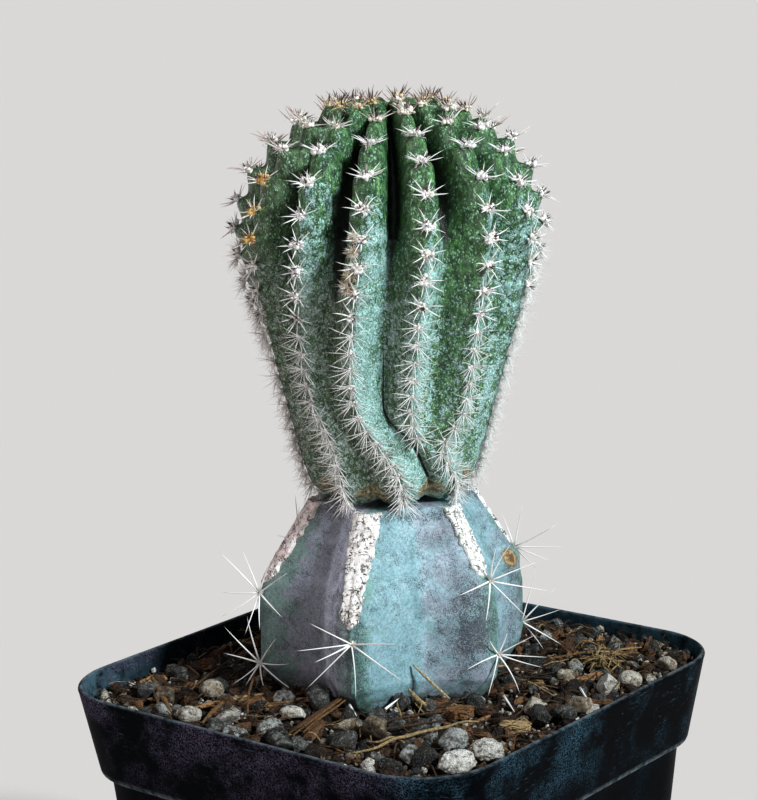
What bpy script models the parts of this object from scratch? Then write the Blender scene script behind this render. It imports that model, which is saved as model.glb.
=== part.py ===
"""Potted echinopsis: a ribbed green cactus grafted on a six-ribbed rootstock, in a square pot of gritty soil.

Metres, +Z up. The origin is at the centre of the pot's base. The plant's heights are counted from the pot's
rim, and its angles in degrees, anticlockwise from above, from the side that faces the viewer.
"""
import math
import random

import bmesh
import bpy
from mathutils import Vector

MM = 0.001

# Pot: a square nursery pot with a deep collar
POT_HEIGHT = 90 * MM
POT_HALF_WIDTH = 50 * MM
POT_CORNER_RADIUS = 15.8 * MM
POT_WALL = 1.2 * MM
POT_FLOOR = 1.8 * MM
POT_LIP = 0.4 * MM
COLLAR_HEIGHT = 18 * MM
COLLAR_TAPER = 0.15
COLLAR_STEP = 1.4 * MM
COLLAR_STEP_FALL = 0.6 * MM
BODY_TAPER = 0.085
CORNER_STEPS = 6
DRAIN_RADIUS = 4 * MM
DRAIN_OFFSET = 24 * MM

# Soil: its level is counted from the rim
GAP = 0.3 * MM
SOIL_LEVEL = -2.0 * MM
SOIL_MOUND = 2.0 * MM
SOIL_MOUND_SPREAD = 12 * MM
SOIL_FALL = 2.2 * MM
SOIL_RELIEF = 1.3 * MM
SOIL_RINGS = 10
SOIL_WALL_GAP = 0.45 * MM
STEM_GAP = 0.6 * MM

# Plant: both stems lean a little to the viewer's right
FRONT_AZIMUTH = -50.8
LEAN_ANGLE = 90.0
LEAN = math.tan(math.radians(1.15))

# Rootstock: (crest angle, lower areole height, upper areole height, has a lower areole)
ROOT_TOP = 36 * MM
ROOT_BURIED_ROWS = (-34 * MM, -22 * MM, -12 * MM, -6 * MM, -1 * MM)
ROOT_RIBS = (
    (-78, 3.2 * MM, 17.7 * MM, True),
    (-18, 5.5 * MM, 13.9 * MM, False),
    (46, 7.7 * MM, 22.0 * MM, True),
    (106, 5.6 * MM, 21.6 * MM, True),
    (166, 3.6 * MM, 18.5 * MM, True),
    (226, 6.4 * MM, 21.0 * MM, True),
)
ROOT_CREST = ((-34, 11), (-22, 13), (-12, 16), (-6, 20.5), (-1, 25.2), (3, 28.0), (15, 28.3), (20, 27.4), (36, 17))
ROOT_GROOVE = ((-34, 11), (-22, 12.4), (-12, 14), (-6, 16), (-1, 18.4), (3, 19.8), (20, 20.2), (36, 13.4))
ROOT_EDGE_ANGLE = 3.0
ROOT_EDGE_DROP = 0.45 * MM
ROOT_SPINE_LENGTH = 9.5 * MM

# Scion: outline over the rib crests as (height, radius), then a superelliptic crown
SCION_OUTLINE = ((36.3, 13.0), (39, 16.1), (46, 18.4), (62, 22.6), (78, 27.6), (89, 30.1))
SHOULDER_HEIGHT = 89 * MM
SHOULDER_RADIUS = 30.1 * MM
CROWN_HEIGHT = 25.6 * MM
CROWN_POWER = 2.25
CROWN_TIP_RADIUS = 4.0 * MM
LOWER_LENGTH = 24 * MM
LOWER_ROW_STEP = 2.8 * MM
UPPER_ROW_STEP = 3.4 * MM
CRENATION = 0.7 * MM
RIB_SHAPE_POWER = 1.7
FADE_LENGTH = 8 * MM
AREOLE_STRENGTH = 0.75

# Groove depth as (distance along the outline, depth), and half a rib's width as (height, degrees)
GROOVE_DEPTH = ((0, 2.0), (10, 3.2), (25, 4.8), (40, 6.6), (56, 8.4), (70, 8.2), (80, 6.2), (90, 2.6), (97, 0.5))
RIB_HALF_WIDTH = ((36, 22.5), (46, 21), (58, 16), (68, 12.6), (115, 12.6))

# Scion ribs: the height where the rib fades out on its way down, and its path as (height, angle)
SCION_RIBS = (
    (0, ((36, -81), (54, -83), (75, -67), (91, -61), (112, -58))),
    (0, ((36, -36), (45, -36), (53, -40), (60, -46), (73, -42), (90, -35), (112, -33))),
    (0, ((36, 8.5), (43, 4), (49, -6), (55, -17), (62, -20), (76, -15.5), (90, -10.5), (112, -9))),
    (45, ((36, 24), (47, 17), (56, 9.5), (70, 10.5), (90, 13), (112, 14))),
    (0, ((36, 55), (42, 45), (47, 31), (50, 31), (55, 40.5), (74, 38.5), (90, 38), (112, 38))),
    (0, ((36, 100), (54, 87), (84, 68), (95, 60), (112, 60))),
    (66, ((36, 118), (54, 108), (84, 92), (112, 86))),
    (50, ((36, 128), (54, 124), (84, 118), (112, 113))),
    (0, ((36, 145), (54, 146), (84, 142), (112, 140))),
    (50, ((36, 168), (54, 170), (84, 168), (112, 167))),
    (0, ((36, 190), (54, 196), (84, 194), (112, 194))),
    (50, ((36, 213), (54, 220), (84, 221), (112, 221))),
    (0, ((36, 235), (54, 243), (84, 246), (112, 248))),
    (64, ((36, 257), (54, 261), (84, 272), (112, 275))),
)
SCION_SPINE_LENGTH = 3.7 * MM
CROWN_SPINE_LENGTH = 3.2 * MM
SPINE_CLEARANCE = 1.2 * MM
SPINE_SHORTENING = 0.28

# Larger pieces on the soil: name, place, half sizes, turn in degrees and roughness of the shape
STONES = (
    ("pebble", (-24.5, -28.2), (2.7, 2.5, 2.1), 10, 0.02),
    ("pumice_left", (-17.9, -41.6), (2.5, 2.2, 1.8), 40, 0.10),
    ("speckled_stone", (1.8, -40.3), (2.8, 2.2, 1.9), 65, 0.08),
    ("bean_stone", (0.2, -32.0), (2.6, 1.5, 1.4), 20, 0.04),
    ("pumice_front", (42.4, -35.0), (3.5, 2.8, 2.4), 70, 0.10),
    ("pumice_second", (43.2, -27.4), (3.3, 2.7, 2.3), 30, 0.10),
    ("grey_stone", (43.3, -2.1), (2.5, 2.1, 1.7), 15, 0.12),
    ("pale_stone", (43.2, 20.8), (2.5, 2.3, 2.0), 50, 0.08),
)
CHIPS = (
    ("bark_chip", (27.4, -14.2), (3.2, 2.6), 25, 1.7),
    ("wood_chip", (39.6, -13.2), (3.6, 1.9), 30, 1.5),
)
STONE_FOOT = 0.55
STONE_SINK = 0.5 * MM
PATCH_MARGIN = 4.2 * MM


def clear_scene():
    """Removes every object, so the file holds only the model."""
    for item in list(bpy.data.objects):
        bpy.data.objects.remove(item)


def smoothstep(low, high, value):
    """Rises smoothly from 0 at low to 1 at high."""
    share = min(1.0, max(0.0, (value - low) / (high - low)))
    return share * share * (3 - 2 * share)


def straight_curve(points, x):
    """Reads straight runs through (x, y) points with rising x."""
    if x <= points[0][0]:
        return points[0][1]
    for (x0, y0), (x1, y1) in zip(points, points[1:]):
        if x <= x1:
            return y0 + (y1 - y0) * (x - x0) / (x1 - x0)
    return points[-1][1]


def smooth_curve(points, x):
    """Reads a smooth curve through (x, y) points with rising x, level beyond its ends."""
    if x <= points[0][0]:
        return points[0][1]
    if x >= points[-1][0]:
        return points[-1][1]
    slopes = []
    for i in range(len(points)):
        before = points[max(i - 1, 0)]
        after = points[min(i + 1, len(points) - 1)]
        slopes.append((after[1] - before[1]) / (after[0] - before[0]))
    i = next(k for k in range(len(points) - 1) if x <= points[k + 1][0])
    (x0, y0), (x1, y1) = points[i], points[i + 1]
    run = x1 - x0
    t = (x - x0) / run
    start = (1 + 2 * t) * (1 - t) ** 2 * y0 + t * (1 - t) ** 2 * run * slopes[i]
    end = t * t * (3 - 2 * t) * y1 + t * t * (t - 1) * run * slopes[i + 1]
    return start + end


def plant_direction(angle):
    """Unit vector in the ground plane for a plant angle."""
    turn = math.radians(FRONT_AZIMUTH + angle)
    return Vector((math.cos(turn), math.sin(turn), 0))


def plant_point(radius, angle, height):
    """Point of the leaning plant, from its radius, plant angle and height over the rim."""
    lean = plant_direction(LEAN_ANGLE) * (LEAN * height)
    return plant_direction(angle) * radius + lean + Vector((0, 0, POT_HEIGHT + height))


def principled(name, colour, roughness):
    """A material of one colour and roughness."""
    material = bpy.data.materials.new(name)
    material.use_nodes = True
    shader = material.node_tree.nodes["Principled BSDF"]
    shader.inputs["Base Color"].default_value = (*colour, 1)
    shader.inputs["Roughness"].default_value = roughness
    shader.inputs["Metallic"].default_value = 0
    return material


def add_object(name, shape, material, sharp_angle=None):
    """Turns a bmesh into a named object, smooth up to the sharp angle if one is given."""
    bmesh.ops.recalc_face_normals(shape, faces=shape.faces)
    mesh = bpy.data.meshes.new(name)
    shape.to_mesh(mesh)
    shape.free()
    mesh.materials.append(material)
    if sharp_angle is not None:
        mesh.shade_smooth()
        mesh.set_sharp_from_angle(angle=math.radians(sharp_angle))
    item = bpy.data.objects.new(name, mesh)
    bpy.context.scene.collection.objects.link(item)
    return item


def loft(shape, rings):
    """Joins rings of points into a tube with a flat cap at each end, and returns its rows of vertices."""
    rows = [[shape.verts.new(point) for point in ring] for ring in rings]
    count = len(rows[0])
    for lower, upper in zip(rows, rows[1:]):
        for i in range(count):
            j = (i + 1) % count
            shape.faces.new((lower[i], lower[j], upper[j], upper[i]))
    shape.faces.new(list(reversed(rows[0])))
    shape.faces.new(rows[-1])
    return rows


def areole(shape, crest, normal, upward, radius, lift, tip_of):
    """Raises a cushion on the crest vertex and draws a three-sided spine out of each of its eight faces.

    tip_of takes a spine's direction in the cushion's plane, as (sideways, upward), and gives its tip from the
    cushion's centre.
    """
    centre = crest.co.copy()
    sideways = upward.cross(normal).normalized()
    upward = normal.cross(sideways).normalized()
    faces = list(crest.link_faces)
    bmesh.ops.inset_region(shape, faces=faces, thickness=0.05 * radius)
    ring = {vertex for face in faces for vertex in face.verts if vertex is not crest}
    offsets = {vertex: vertex.co - centre for vertex in ring}
    ordered = sorted(ring, key=lambda v: math.atan2(offsets[v].dot(upward), offsets[v].dot(sideways)))
    first = math.atan2(offsets[ordered[0]].dot(upward), offsets[ordered[0]].dot(sideways))
    first = round(first / (math.pi / 4)) * (math.pi / 4)
    for i, vertex in enumerate(ordered):
        turn = first + i * math.pi / 4
        vertex.co = centre + (sideways * math.cos(turn) + upward * math.sin(turn)) * radius
    bmesh.ops.dissolve_verts(shape, verts=[crest])
    pad = next(face for face in ordered[0].link_faces if len(face.verts) == 8)
    fan = bmesh.ops.poke(shape, faces=[pad])
    fan["verts"][0].co = centre + normal * lift
    spines = bmesh.ops.poke(shape, faces=fan["faces"])
    for vertex in spines["verts"]:
        offset = vertex.co - centre
        across, along = offset.dot(sideways), offset.dot(upward)
        size = math.hypot(across, along)
        side, up, out = tip_of(across / size, along / size)
        vertex.co = centre + sideways * side + upward * up + normal * out


def spine_tip(draw, length, elevation, across, along, lowest):
    """Tip of a spine that leaves the cushion in one direction, tilted out by the elevation in degrees.

    lowest is how far the tip may reach down from the cushion: a spine that would pass it is bent outwards.
    """
    reach = length * draw.uniform(0.88, 1.1) * (1 - SPINE_SHORTENING * along ** 2)
    flat = reach * math.cos(math.radians(elevation + draw.uniform(-6, 6)))
    side = across * flat
    up = max(along * flat, lowest)
    return side, up, math.sqrt(reach ** 2 - side ** 2 - up ** 2)


def rounded_square(half, radius, height):
    """Ring of points of a square with round corners."""
    ring = []
    for corner in range(4):
        turn = math.radians(90 * corner)
        for step in range(CORNER_STEPS + 1):
            angle = turn + math.radians(90) * step / CORNER_STEPS
            middle = math.radians(45) + turn
            reach = math.sqrt(2) * (half - radius)
            x = reach * math.cos(middle) + radius * math.cos(angle)
            y = reach * math.sin(middle) + radius * math.sin(angle)
            ring.append(Vector((x, y, height)))
    return ring


def square_reach(half, radius, angle):
    """Distance from the middle of a square with round corners to its edge, at an angle in radians."""
    turn = abs((angle + math.pi / 4) % (math.pi / 2) - math.pi / 4)
    if half * math.tan(turn) <= half - radius:
        return half / math.cos(turn)
    offset = half - radius
    forward = offset * (math.cos(turn) + math.sin(turn))
    return forward + math.sqrt(forward ** 2 - 2 * offset ** 2 + radius ** 2)


def pot_half(height, inset=0.0):
    """Half width of the pot's outer side at a height over the base, less an inset."""
    fall = POT_HEIGHT - height
    if fall <= COLLAR_HEIGHT:
        return POT_HALF_WIDTH - COLLAR_TAPER * fall - inset
    below = fall - COLLAR_HEIGHT
    return POT_HALF_WIDTH - COLLAR_TAPER * COLLAR_HEIGHT - COLLAR_STEP - BODY_TAPER * below - inset


def pot_ring(height, inset=0.0, half=None):
    """Ring of the pot's wall, its corners keeping one centre through the wall."""
    half = pot_half(height, inset) if half is None else half
    return rounded_square(half, POT_CORNER_RADIUS - inset, height)


def make_pot():
    """The pot: a thin tapered wall with a stepped collar, a rounded lip and four drainage holes."""
    step_top = POT_HEIGHT - COLLAR_HEIGHT
    ledge_top = step_top + POT_WALL
    collar_foot = pot_half(step_top)
    ledge = collar_foot + COLLAR_TAPER * POT_WALL - POT_WALL
    shape = bmesh.new()
    loft(shape, [
        pot_ring(0),
        pot_ring(step_top - COLLAR_STEP_FALL),
        pot_ring(step_top, half=collar_foot),
        pot_ring(POT_HEIGHT - POT_LIP),
        pot_ring(POT_HEIGHT, POT_LIP),
        pot_ring(POT_HEIGHT, POT_WALL - POT_LIP),
        pot_ring(POT_HEIGHT - POT_LIP, POT_WALL),
        pot_ring(ledge_top, POT_WALL, ledge),
        pot_ring(ledge_top - COLLAR_STEP_FALL, POT_WALL, ledge - COLLAR_STEP),
        pot_ring(POT_FLOOR, POT_WALL),
    ])
    pot = add_object("pot", shape, principled("black plastic", (0.012, 0.014, 0.020), 0.42), 40)
    cut_drain_holes(pot)
    return pot


def cut_drain_holes(pot):
    """Cuts a round hole near each corner of the pot's floor."""
    shape = bmesh.new()
    for side_x in (-1, 1):
        for side_y in (-1, 1):
            drill = bmesh.ops.create_cone(shape, cap_ends=True, segments=16, radius1=DRAIN_RADIUS,
                                          radius2=DRAIN_RADIUS, depth=4 * POT_FLOOR)
            place = Vector((side_x * DRAIN_OFFSET, side_y * DRAIN_OFFSET, 0))
            bmesh.ops.translate(shape, verts=drill["verts"], vec=place)
    cutter = add_object("drain_cutter", shape, principled("cutter", (1, 0, 0), 0.5))
    cutter.hide_render = True
    cutter.display_type = "WIRE"
    cut = pot.modifiers.new("drain holes", "BOOLEAN")
    cut.operation = "DIFFERENCE"
    cut.object = cutter


def root_columns():
    """Columns of the rootstock's surface: (rib, share of the way to the next rib, side, kind)."""
    columns = []
    for rib in range(len(ROOT_RIBS)):
        columns.append((rib, "crest", 0.0))
        columns.append((rib, "edge", 0.0))
        columns.append((rib, "flank", 0.27))
        columns.append((rib, "groove", 0.5))
        columns.append((rib, "flank", 0.73))
        columns.append((rib, "edge", 1.0))
    return columns


def root_point(rib, kind, share, height):
    """Point of the rootstock's surface: crests and grooves with flat flanks between them."""
    start = ROOT_RIBS[rib][0]
    end = ROOT_RIBS[(rib + 1) % len(ROOT_RIBS)][0] + (360 if rib + 1 == len(ROOT_RIBS) else 0)
    crest = straight_curve(ROOT_CREST, height / MM) * MM
    groove = straight_curve(ROOT_GROOVE, height / MM) * MM
    drop = min(ROOT_EDGE_DROP, crest - groove)
    near, toward = (start, 1) if share < 0.5 else (end, -1)
    if kind == "crest":
        return plant_point(crest, start, height)
    edge = plant_point(crest - drop, near + toward * ROOT_EDGE_ANGLE, height)
    if kind == "edge":
        return edge
    bottom = plant_point(groove, (start + end) / 2, height)
    if kind == "groove":
        return bottom
    return edge.lerp(bottom, 2 * min(share, 1 - share))


def root_heights(rib, share):
    """Row heights of one column, blended between its two ribs so that rows run through their areoles."""
    def rows(index):
        _, lower, upper, _ = ROOT_RIBS[index % len(ROOT_RIBS)]
        rest = ROOT_TOP - upper
        return [lower, (lower + upper) / 2, upper, upper + rest / 3, upper + 2 * rest / 3]
    blended = [a + (b - a) * share for a, b in zip(rows(rib), rows(rib + 1))]
    return [*ROOT_BURIED_ROWS, *blended, ROOT_TOP]


def root_ring(height):
    """Level ring of the rootstock's surface at one height."""
    return [root_point(rib, kind, share, height) for rib, kind, share in root_columns()]


def make_rootstock():
    """The rootstock: six ribs, cut down to shoulders at the graft, with stout spines and a buried stem."""
    columns = root_columns()
    heights = [root_heights(rib, share) for rib, _, share in columns]
    rings = []
    for row in range(len(heights[0])):
        rings.append([root_point(*column, heights[i][row]) for i, column in enumerate(columns)])
    shape = bmesh.new()
    rows = loft(shape, rings)
    lower_row = len(ROOT_BURIED_ROWS)
    draw = random.Random(6)
    for rib, (angle, _, _, has_lower) in enumerate(ROOT_RIBS):
        column = 6 * rib
        outward = plant_direction(angle)
        upper_normal = (outward + Vector((0, 0, 0.25))).normalized()
        root_areole(shape, rows[lower_row + 2][column], upper_normal, draw)
        if has_lower:
            root_areole(shape, rows[lower_row][column], outward, draw)
    return add_object("rootstock", shape, principled("rootstock skin", (0.20, 0.30, 0.33), 0.6), 35)


def root_areole(shape, crest, normal, draw):
    """One of the rootstock's areoles, with spines that stay clear of the soil."""
    lowest = POT_HEIGHT + SPINE_CLEARANCE - crest.co.z

    def tip_of(across, along):
        elevation = 42 if abs(across) > abs(along) else 18
        return spine_tip(draw, ROOT_SPINE_LENGTH, elevation, across, along, lowest)
    areole(shape, crest, normal, Vector((0, 0, 1)), 1.0 * MM, 0.8 * MM, tip_of)


def scion_outline():
    """Fine outline of the scion over its rib crests, base to crown, as (distance, radius, height) points."""
    points = []
    base = SCION_OUTLINE[0][0] * MM
    for step in range(60):
        height = base + (SHOULDER_HEIGHT - base) * step / 60
        points.append((smooth_curve(SCION_OUTLINE, height / MM) * MM, height))
    step = 0
    while not points or points[-1][0] > CROWN_TIP_RADIUS:
        turn = math.radians(1.2 * step)
        radius = SHOULDER_RADIUS * math.cos(turn) ** (2 / CROWN_POWER)
        height = SHOULDER_HEIGHT + CROWN_HEIGHT * math.sin(turn) ** (2 / CROWN_POWER)
        points.append((radius, height))
        step += 1
    outline = []
    distance = 0.0
    for i, (radius, height) in enumerate(points):
        if i:
            distance += math.dist(points[i - 1], points[i])
        outline.append((distance, radius, height))
    return outline


def outline_at(outline, distance):
    """Radius, height and outward normal (radial, upward) of the outline at a distance along it."""
    i = next((k for k in range(len(outline) - 2) if outline[k + 1][0] >= distance), len(outline) - 2)
    (d0, r0, h0), (d1, r1, h1) = outline[i], outline[i + 1]
    share = (distance - d0) / (d1 - d0)
    run = math.hypot(r1 - r0, h1 - h0)
    return r0 + (r1 - r0) * share, h0 + (h1 - h0) * share, ((h1 - h0) / run, -(r1 - r0) / run)


def rib_angle(rib, height):
    """Plant angle of a rib's crest at a height."""
    return smooth_curve(SCION_RIBS[rib][1], height / MM)


def rib_strength(rib, height):
    """1 where a rib stands out, 0 below the height where it has faded out."""
    fade = SCION_RIBS[rib][0] * MM
    return smoothstep(fade, fade + FADE_LENGTH, height)


def groove_share(angle, height):
    """How deep the surface lies between crest (0) and groove (1) at a plant angle and height."""
    half_width = smooth_curve(RIB_HALF_WIDTH, height / MM)
    deepest = 1.0
    for rib in range(len(SCION_RIBS)):
        apart = abs((angle - rib_angle(rib, height) + 180) % 360 - 180)
        share = (apart / half_width) ** RIB_SHAPE_POWER + 1 - rib_strength(rib, height)
        deepest = min(deepest, share)
    return deepest


def scion_point(outline, distance, angle, inset=0.0):
    """Point of the scion's skin at a distance along the outline and a plant angle."""
    radius, height, (outward, upward) = outline_at(outline, distance)
    depth = smooth_curve(GROOVE_DEPTH, distance / MM) * MM * groove_share(angle, height) + inset
    return plant_point(radius - depth * outward, angle, height - depth * upward)


def scion_rows(outline):
    """Distances of the rows along the outline, closer together in the lower part."""
    length = outline[-1][0]
    lower = round(LOWER_LENGTH / LOWER_ROW_STEP)
    upper = round((length - LOWER_LENGTH) / UPPER_ROW_STEP)
    rows = [LOWER_LENGTH * i / lower for i in range(lower)]
    return rows + [LOWER_LENGTH + (length - LOWER_LENGTH) * i / upper for i in range(upper + 1)]


def make_scion():
    """The scion: 14 ribs at the crown, 8 at the graft, with an areole on every other row of each crest."""
    outline = scion_outline()
    distances = scion_rows(outline)
    count = len(SCION_RIBS)
    rings = []
    for row, distance in enumerate(distances):
        height = outline_at(outline, distance)[1]
        ring = []
        for rib in range(count):
            crest = rib_angle(rib, height)
            following = rib_angle((rib + 1) % count, height) + (360 if rib + 1 == count else 0)
            notch = CRENATION if (row + rib) % 2 else 0.0
            ring.append(scion_point(outline, distance, crest, notch))
            for share in (0.25, 0.5, 0.75):
                ring.append(scion_point(outline, distance, crest + (following - crest) * share))
        rings.append(ring)
    shape = bmesh.new()
    rows = loft(shape, rings)
    draw = random.Random(14)
    for row in range(1, len(distances) - 1):
        radius, height, (outward, upward) = outline_at(outline, distances[row])
        for rib in range(count):
            if (row + rib) % 2 == 0 and rib_strength(rib, height) > AREOLE_STRENGTH:
                across = plant_direction(rib_angle(rib, height))
                normal = (across * outward + Vector((0, 0, upward))).normalized()
                crest = rows[row][4 * rib]
                scion_areole(shape, crest, normal, rows[row + 1][4 * rib].co - crest.co, height, draw)
    return add_object("scion", shape, principled("green skin", (0.05, 0.16, 0.08), 0.5), 30)


def scion_areole(shape, crest, normal, upward, height, draw):
    """One of the scion's areoles: spines spread sideways low down, and stand up at the crown."""
    crown = smoothstep(SHOULDER_HEIGHT + 8 * MM, SHOULDER_HEIGHT + CROWN_HEIGHT, height)
    length = SCION_SPINE_LENGTH + (CROWN_SPINE_LENGTH - SCION_SPINE_LENGTH) * crown
    elevation = 34 + 38 * crown
    lowest = POT_HEIGHT + ROOT_TOP + SPINE_CLEARANCE - crest.co.z

    def tip_of(across, along):
        return spine_tip(draw, length, elevation, across, along, lowest)
    areole(shape, crest, normal, upward, (0.85 - 0.25 * crown) * MM, 0.6 * MM, tip_of)


def soil_level(x, y):
    """Mean level of the soil over the rim: mounded round the stem and lower towards the left wall."""
    apart = max(0.0, math.hypot(x, y) - ROOT_GROOVE[5][1] * MM)
    mound = SOIL_MOUND * math.exp(-(apart / SOIL_MOUND_SPREAD) ** 2)
    return SOIL_LEVEL + mound + SOIL_FALL * min(x, 0) / POT_HALF_WIDTH


def patches():
    """Flat spots in the soil under its larger pieces: (centre, reach, level)."""
    spots = []
    for _, (x, y), sizes, _, _ in STONES + CHIPS:
        reach = sizes[0] * MM + PATCH_MARGIN
        spots.append((x * MM, y * MM, reach, soil_level(x * MM, y * MM) - STONE_SINK))
    return spots


def soil_height(x, y, spots, relief):
    """Height of the soil's surface: its level with grit relief, flat under the larger pieces."""
    levels = [level for px, py, reach, level in spots if math.hypot(x - px, y - py) < reach]
    return min(levels) if levels else soil_level(x, y) + relief


def make_soil():
    """The soil: a rough top, sides inside the pot's walls, and a plain hole round the rootstock's stem."""
    draw = random.Random(3)
    spots = patches()

    def split(ring):
        """Adds a point halfway along each side of a ring."""
        return [p for i, a in enumerate(ring) for p in (a, a.lerp(ring[(i + 1) % len(ring)], 0.5))]

    def hole_ring(height):
        """Ring round the stem, a gap clear of it."""
        ring = []
        for point in split(root_ring(height)):
            flat = Vector((point.x, point.y, 0))
            ring.append(flat * (1 + STEM_GAP / flat.length) + Vector((0, 0, POT_HEIGHT + height)))
        return ring

    angles = [math.atan2(point.y, point.x) for point in hole_ring(0)]

    def wall_ring(half, height):
        """Ring inside the pot's wall."""
        corner = POT_CORNER_RADIUS - POT_WALL - SOIL_WALL_GAP
        reaches = [square_reach(half, corner, angle) for angle in angles]
        return [Vector((r * math.cos(a), r * math.sin(a), height)) for r, a in zip(reaches, angles)]

    inset = POT_WALL + SOIL_WALL_GAP
    ledge = POT_HEIGHT - COLLAR_HEIGHT + POT_WALL
    rings = [
        wall_ring(pot_half(POT_FLOOR + GAP, inset), POT_FLOOR + GAP),
        wall_ring(pot_half(ledge - COLLAR_STEP_FALL, inset) - COLLAR_STEP, ledge - COLLAR_STEP_FALL),
        wall_ring(pot_half(ledge + COLLAR_STEP_FALL, inset), ledge + COLLAR_STEP_FALL),
    ]
    outer = wall_ring(pot_half(POT_HEIGHT + SOIL_LEVEL, inset + GAP), 0)
    inner = hole_ring(0)
    for step in range(SOIL_RINGS + 1):
        share = step / SOIL_RINGS
        ring = []
        for far, near in zip(outer, inner):
            point = far.lerp(near, share)
            bump = draw.uniform(-1, 1) * SOIL_RELIEF * (0.3 if step in (0, SOIL_RINGS) else 1)
            point.z = POT_HEIGHT + soil_height(point.x, point.y, spots, bump)
            ring.append(point)
        rings.append(ring)
    for height in reversed(ROOT_BURIED_ROWS[:-1]):
        rings.append(hole_ring(height))
    for point in rings[-1]:
        point.z -= GAP
    shape = bmesh.new()
    loft(shape, rings)
    return add_object("soil", shape, principled("gritty soil", (0.045, 0.032, 0.026), 0.95))


def flat_foot(shape, lowest):
    """Presses everything below a height flat."""
    for vertex in shape.verts:
        vertex.co.z = max(vertex.co.z, lowest)


def place_piece(item, x, y, turn, foot):
    """Stands a piece on its flat spot in the soil, a gap clear of it."""
    level = POT_HEIGHT + soil_level(x, y) - STONE_SINK + GAP
    item.location = (x, y, level - foot)
    item.rotation_euler = (0, 0, math.radians(turn))


def make_stone(name, place, sizes, turn, roughness, draw):
    """A stone: an uneven ball with a flat foot."""
    shape = bmesh.new()
    bmesh.ops.create_icosphere(shape, subdivisions=2, radius=1)
    for vertex in shape.verts:
        swell = 1 + draw.uniform(-roughness, roughness)
        vertex.co = Vector(side * size * MM * swell for side, size in zip(vertex.co, sizes))
    foot = -STONE_FOOT * sizes[2] * MM
    flat_foot(shape, foot)
    stone = add_object(name, shape, principled(name, (0.55, 0.53, 0.50), 0.85), 30)
    place_piece(stone, place[0] * MM, place[1] * MM, turn, foot)


def make_chip(name, place, sizes, turn, thickness, draw):
    """A chip of bark or wood: a thin slab with an uneven outline."""
    shape = bmesh.new()
    corners = 7
    outline = []
    for i in range(corners):
        angle = math.tau * i / corners
        swell = draw.uniform(0.82, 1.0) * MM
        outline.append(shape.verts.new((sizes[0] * swell * math.cos(angle), sizes[1] * swell * math.sin(angle), 0)))
    slab = bmesh.ops.extrude_face_region(shape, geom=[shape.faces.new(outline)])
    top = [item for item in slab["geom"] if isinstance(item, bmesh.types.BMVert)]
    bmesh.ops.translate(shape, verts=top, vec=Vector((0, 0, thickness * MM)))
    chip = add_object(name, shape, principled(name, (0.20, 0.11, 0.06), 0.8))
    place_piece(chip, place[0] * MM, place[1] * MM, turn, 0.0)


def main():
    """Builds the pot, the soil, the plant and the larger pieces on the soil."""
    clear_scene()
    make_pot()
    make_soil()
    make_rootstock()
    make_scion()
    draw = random.Random(21)
    for stone in STONES:
        make_stone(*stone, draw)
    for chip in CHIPS:
        make_chip(*chip, draw)


main()
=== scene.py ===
"""Looks of the potted echinopsis: skin, wool, spines, callus, gritty soil and plastic, round the CAD frame.

Metres, +Z up. The plant's heights are counted from the pot's rim, and its angles in degrees, anticlockwise
from above, from the side that faces the viewer.
"""
import math

import bmesh
import bpy
import numpy as np
from mathutils import Matrix, Vector, noise


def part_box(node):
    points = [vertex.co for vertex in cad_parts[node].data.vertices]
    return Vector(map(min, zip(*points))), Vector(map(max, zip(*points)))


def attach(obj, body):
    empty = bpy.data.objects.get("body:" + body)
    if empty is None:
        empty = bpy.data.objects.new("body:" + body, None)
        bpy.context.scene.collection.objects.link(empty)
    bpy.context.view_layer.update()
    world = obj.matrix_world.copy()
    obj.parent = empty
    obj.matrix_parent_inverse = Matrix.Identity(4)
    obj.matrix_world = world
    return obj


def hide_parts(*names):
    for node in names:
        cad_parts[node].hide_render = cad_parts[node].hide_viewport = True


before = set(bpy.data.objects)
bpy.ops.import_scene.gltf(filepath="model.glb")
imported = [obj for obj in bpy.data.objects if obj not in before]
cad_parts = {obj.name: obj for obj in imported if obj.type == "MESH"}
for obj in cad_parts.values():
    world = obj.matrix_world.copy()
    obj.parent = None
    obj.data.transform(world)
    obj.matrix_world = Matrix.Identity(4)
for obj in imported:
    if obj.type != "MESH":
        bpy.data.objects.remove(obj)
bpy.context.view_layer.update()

MM = 0.001

# The camera, solved from the pot's rim in the photograph
CAMERA_PLACE = (0.28084, -0.34601, 0.23871)
CAMERA_RIGHT = (0.77845, 0.62686, -0.03243)
CAMERA_UP = (-0.10442, 0.18027, 0.97806)
CAMERA_LENS = 103.3
SENSOR_WIDTH = 36.0
CAMERA_CLIP = 0.01

# Light: the key stands on the viewer's right. Plant angle, elevation, spread in degrees, strength, colour
KEY = (48, 33, 9, 4.3, (0.92, 1.0, 1.02))
FILL = (-75, 20, 40, 0.64, (1.0, 0.88, 0.90))
TOP = (10, 78, 50, 0.25, (1.0, 1.0, 1.0))
SURROUNDINGS = (0.12, (0.95, 0.97, 1.0))
FLOOR_COLOUR = (0.735, 0.687, 0.662)
FLOOR_REACH = 30.0

# Pot
POT_HEIGHT = 90 * MM
POT_HALF_WIDTH = 50 * MM
POT_CORNER_RADIUS = 15.8 * MM
POT_WALL = 1.2 * MM
POT_FLOOR = 1.8 * MM
COLLAR_HEIGHT = 18 * MM
COLLAR_TAPER = 0.15
COLLAR_STEP = 1.4 * MM
COLLAR_STEP_FALL = 0.6 * MM
BODY_TAPER = 0.085
DRAIN_RADIUS = 4 * MM
DRAIN_OFFSET = 24 * MM
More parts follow.
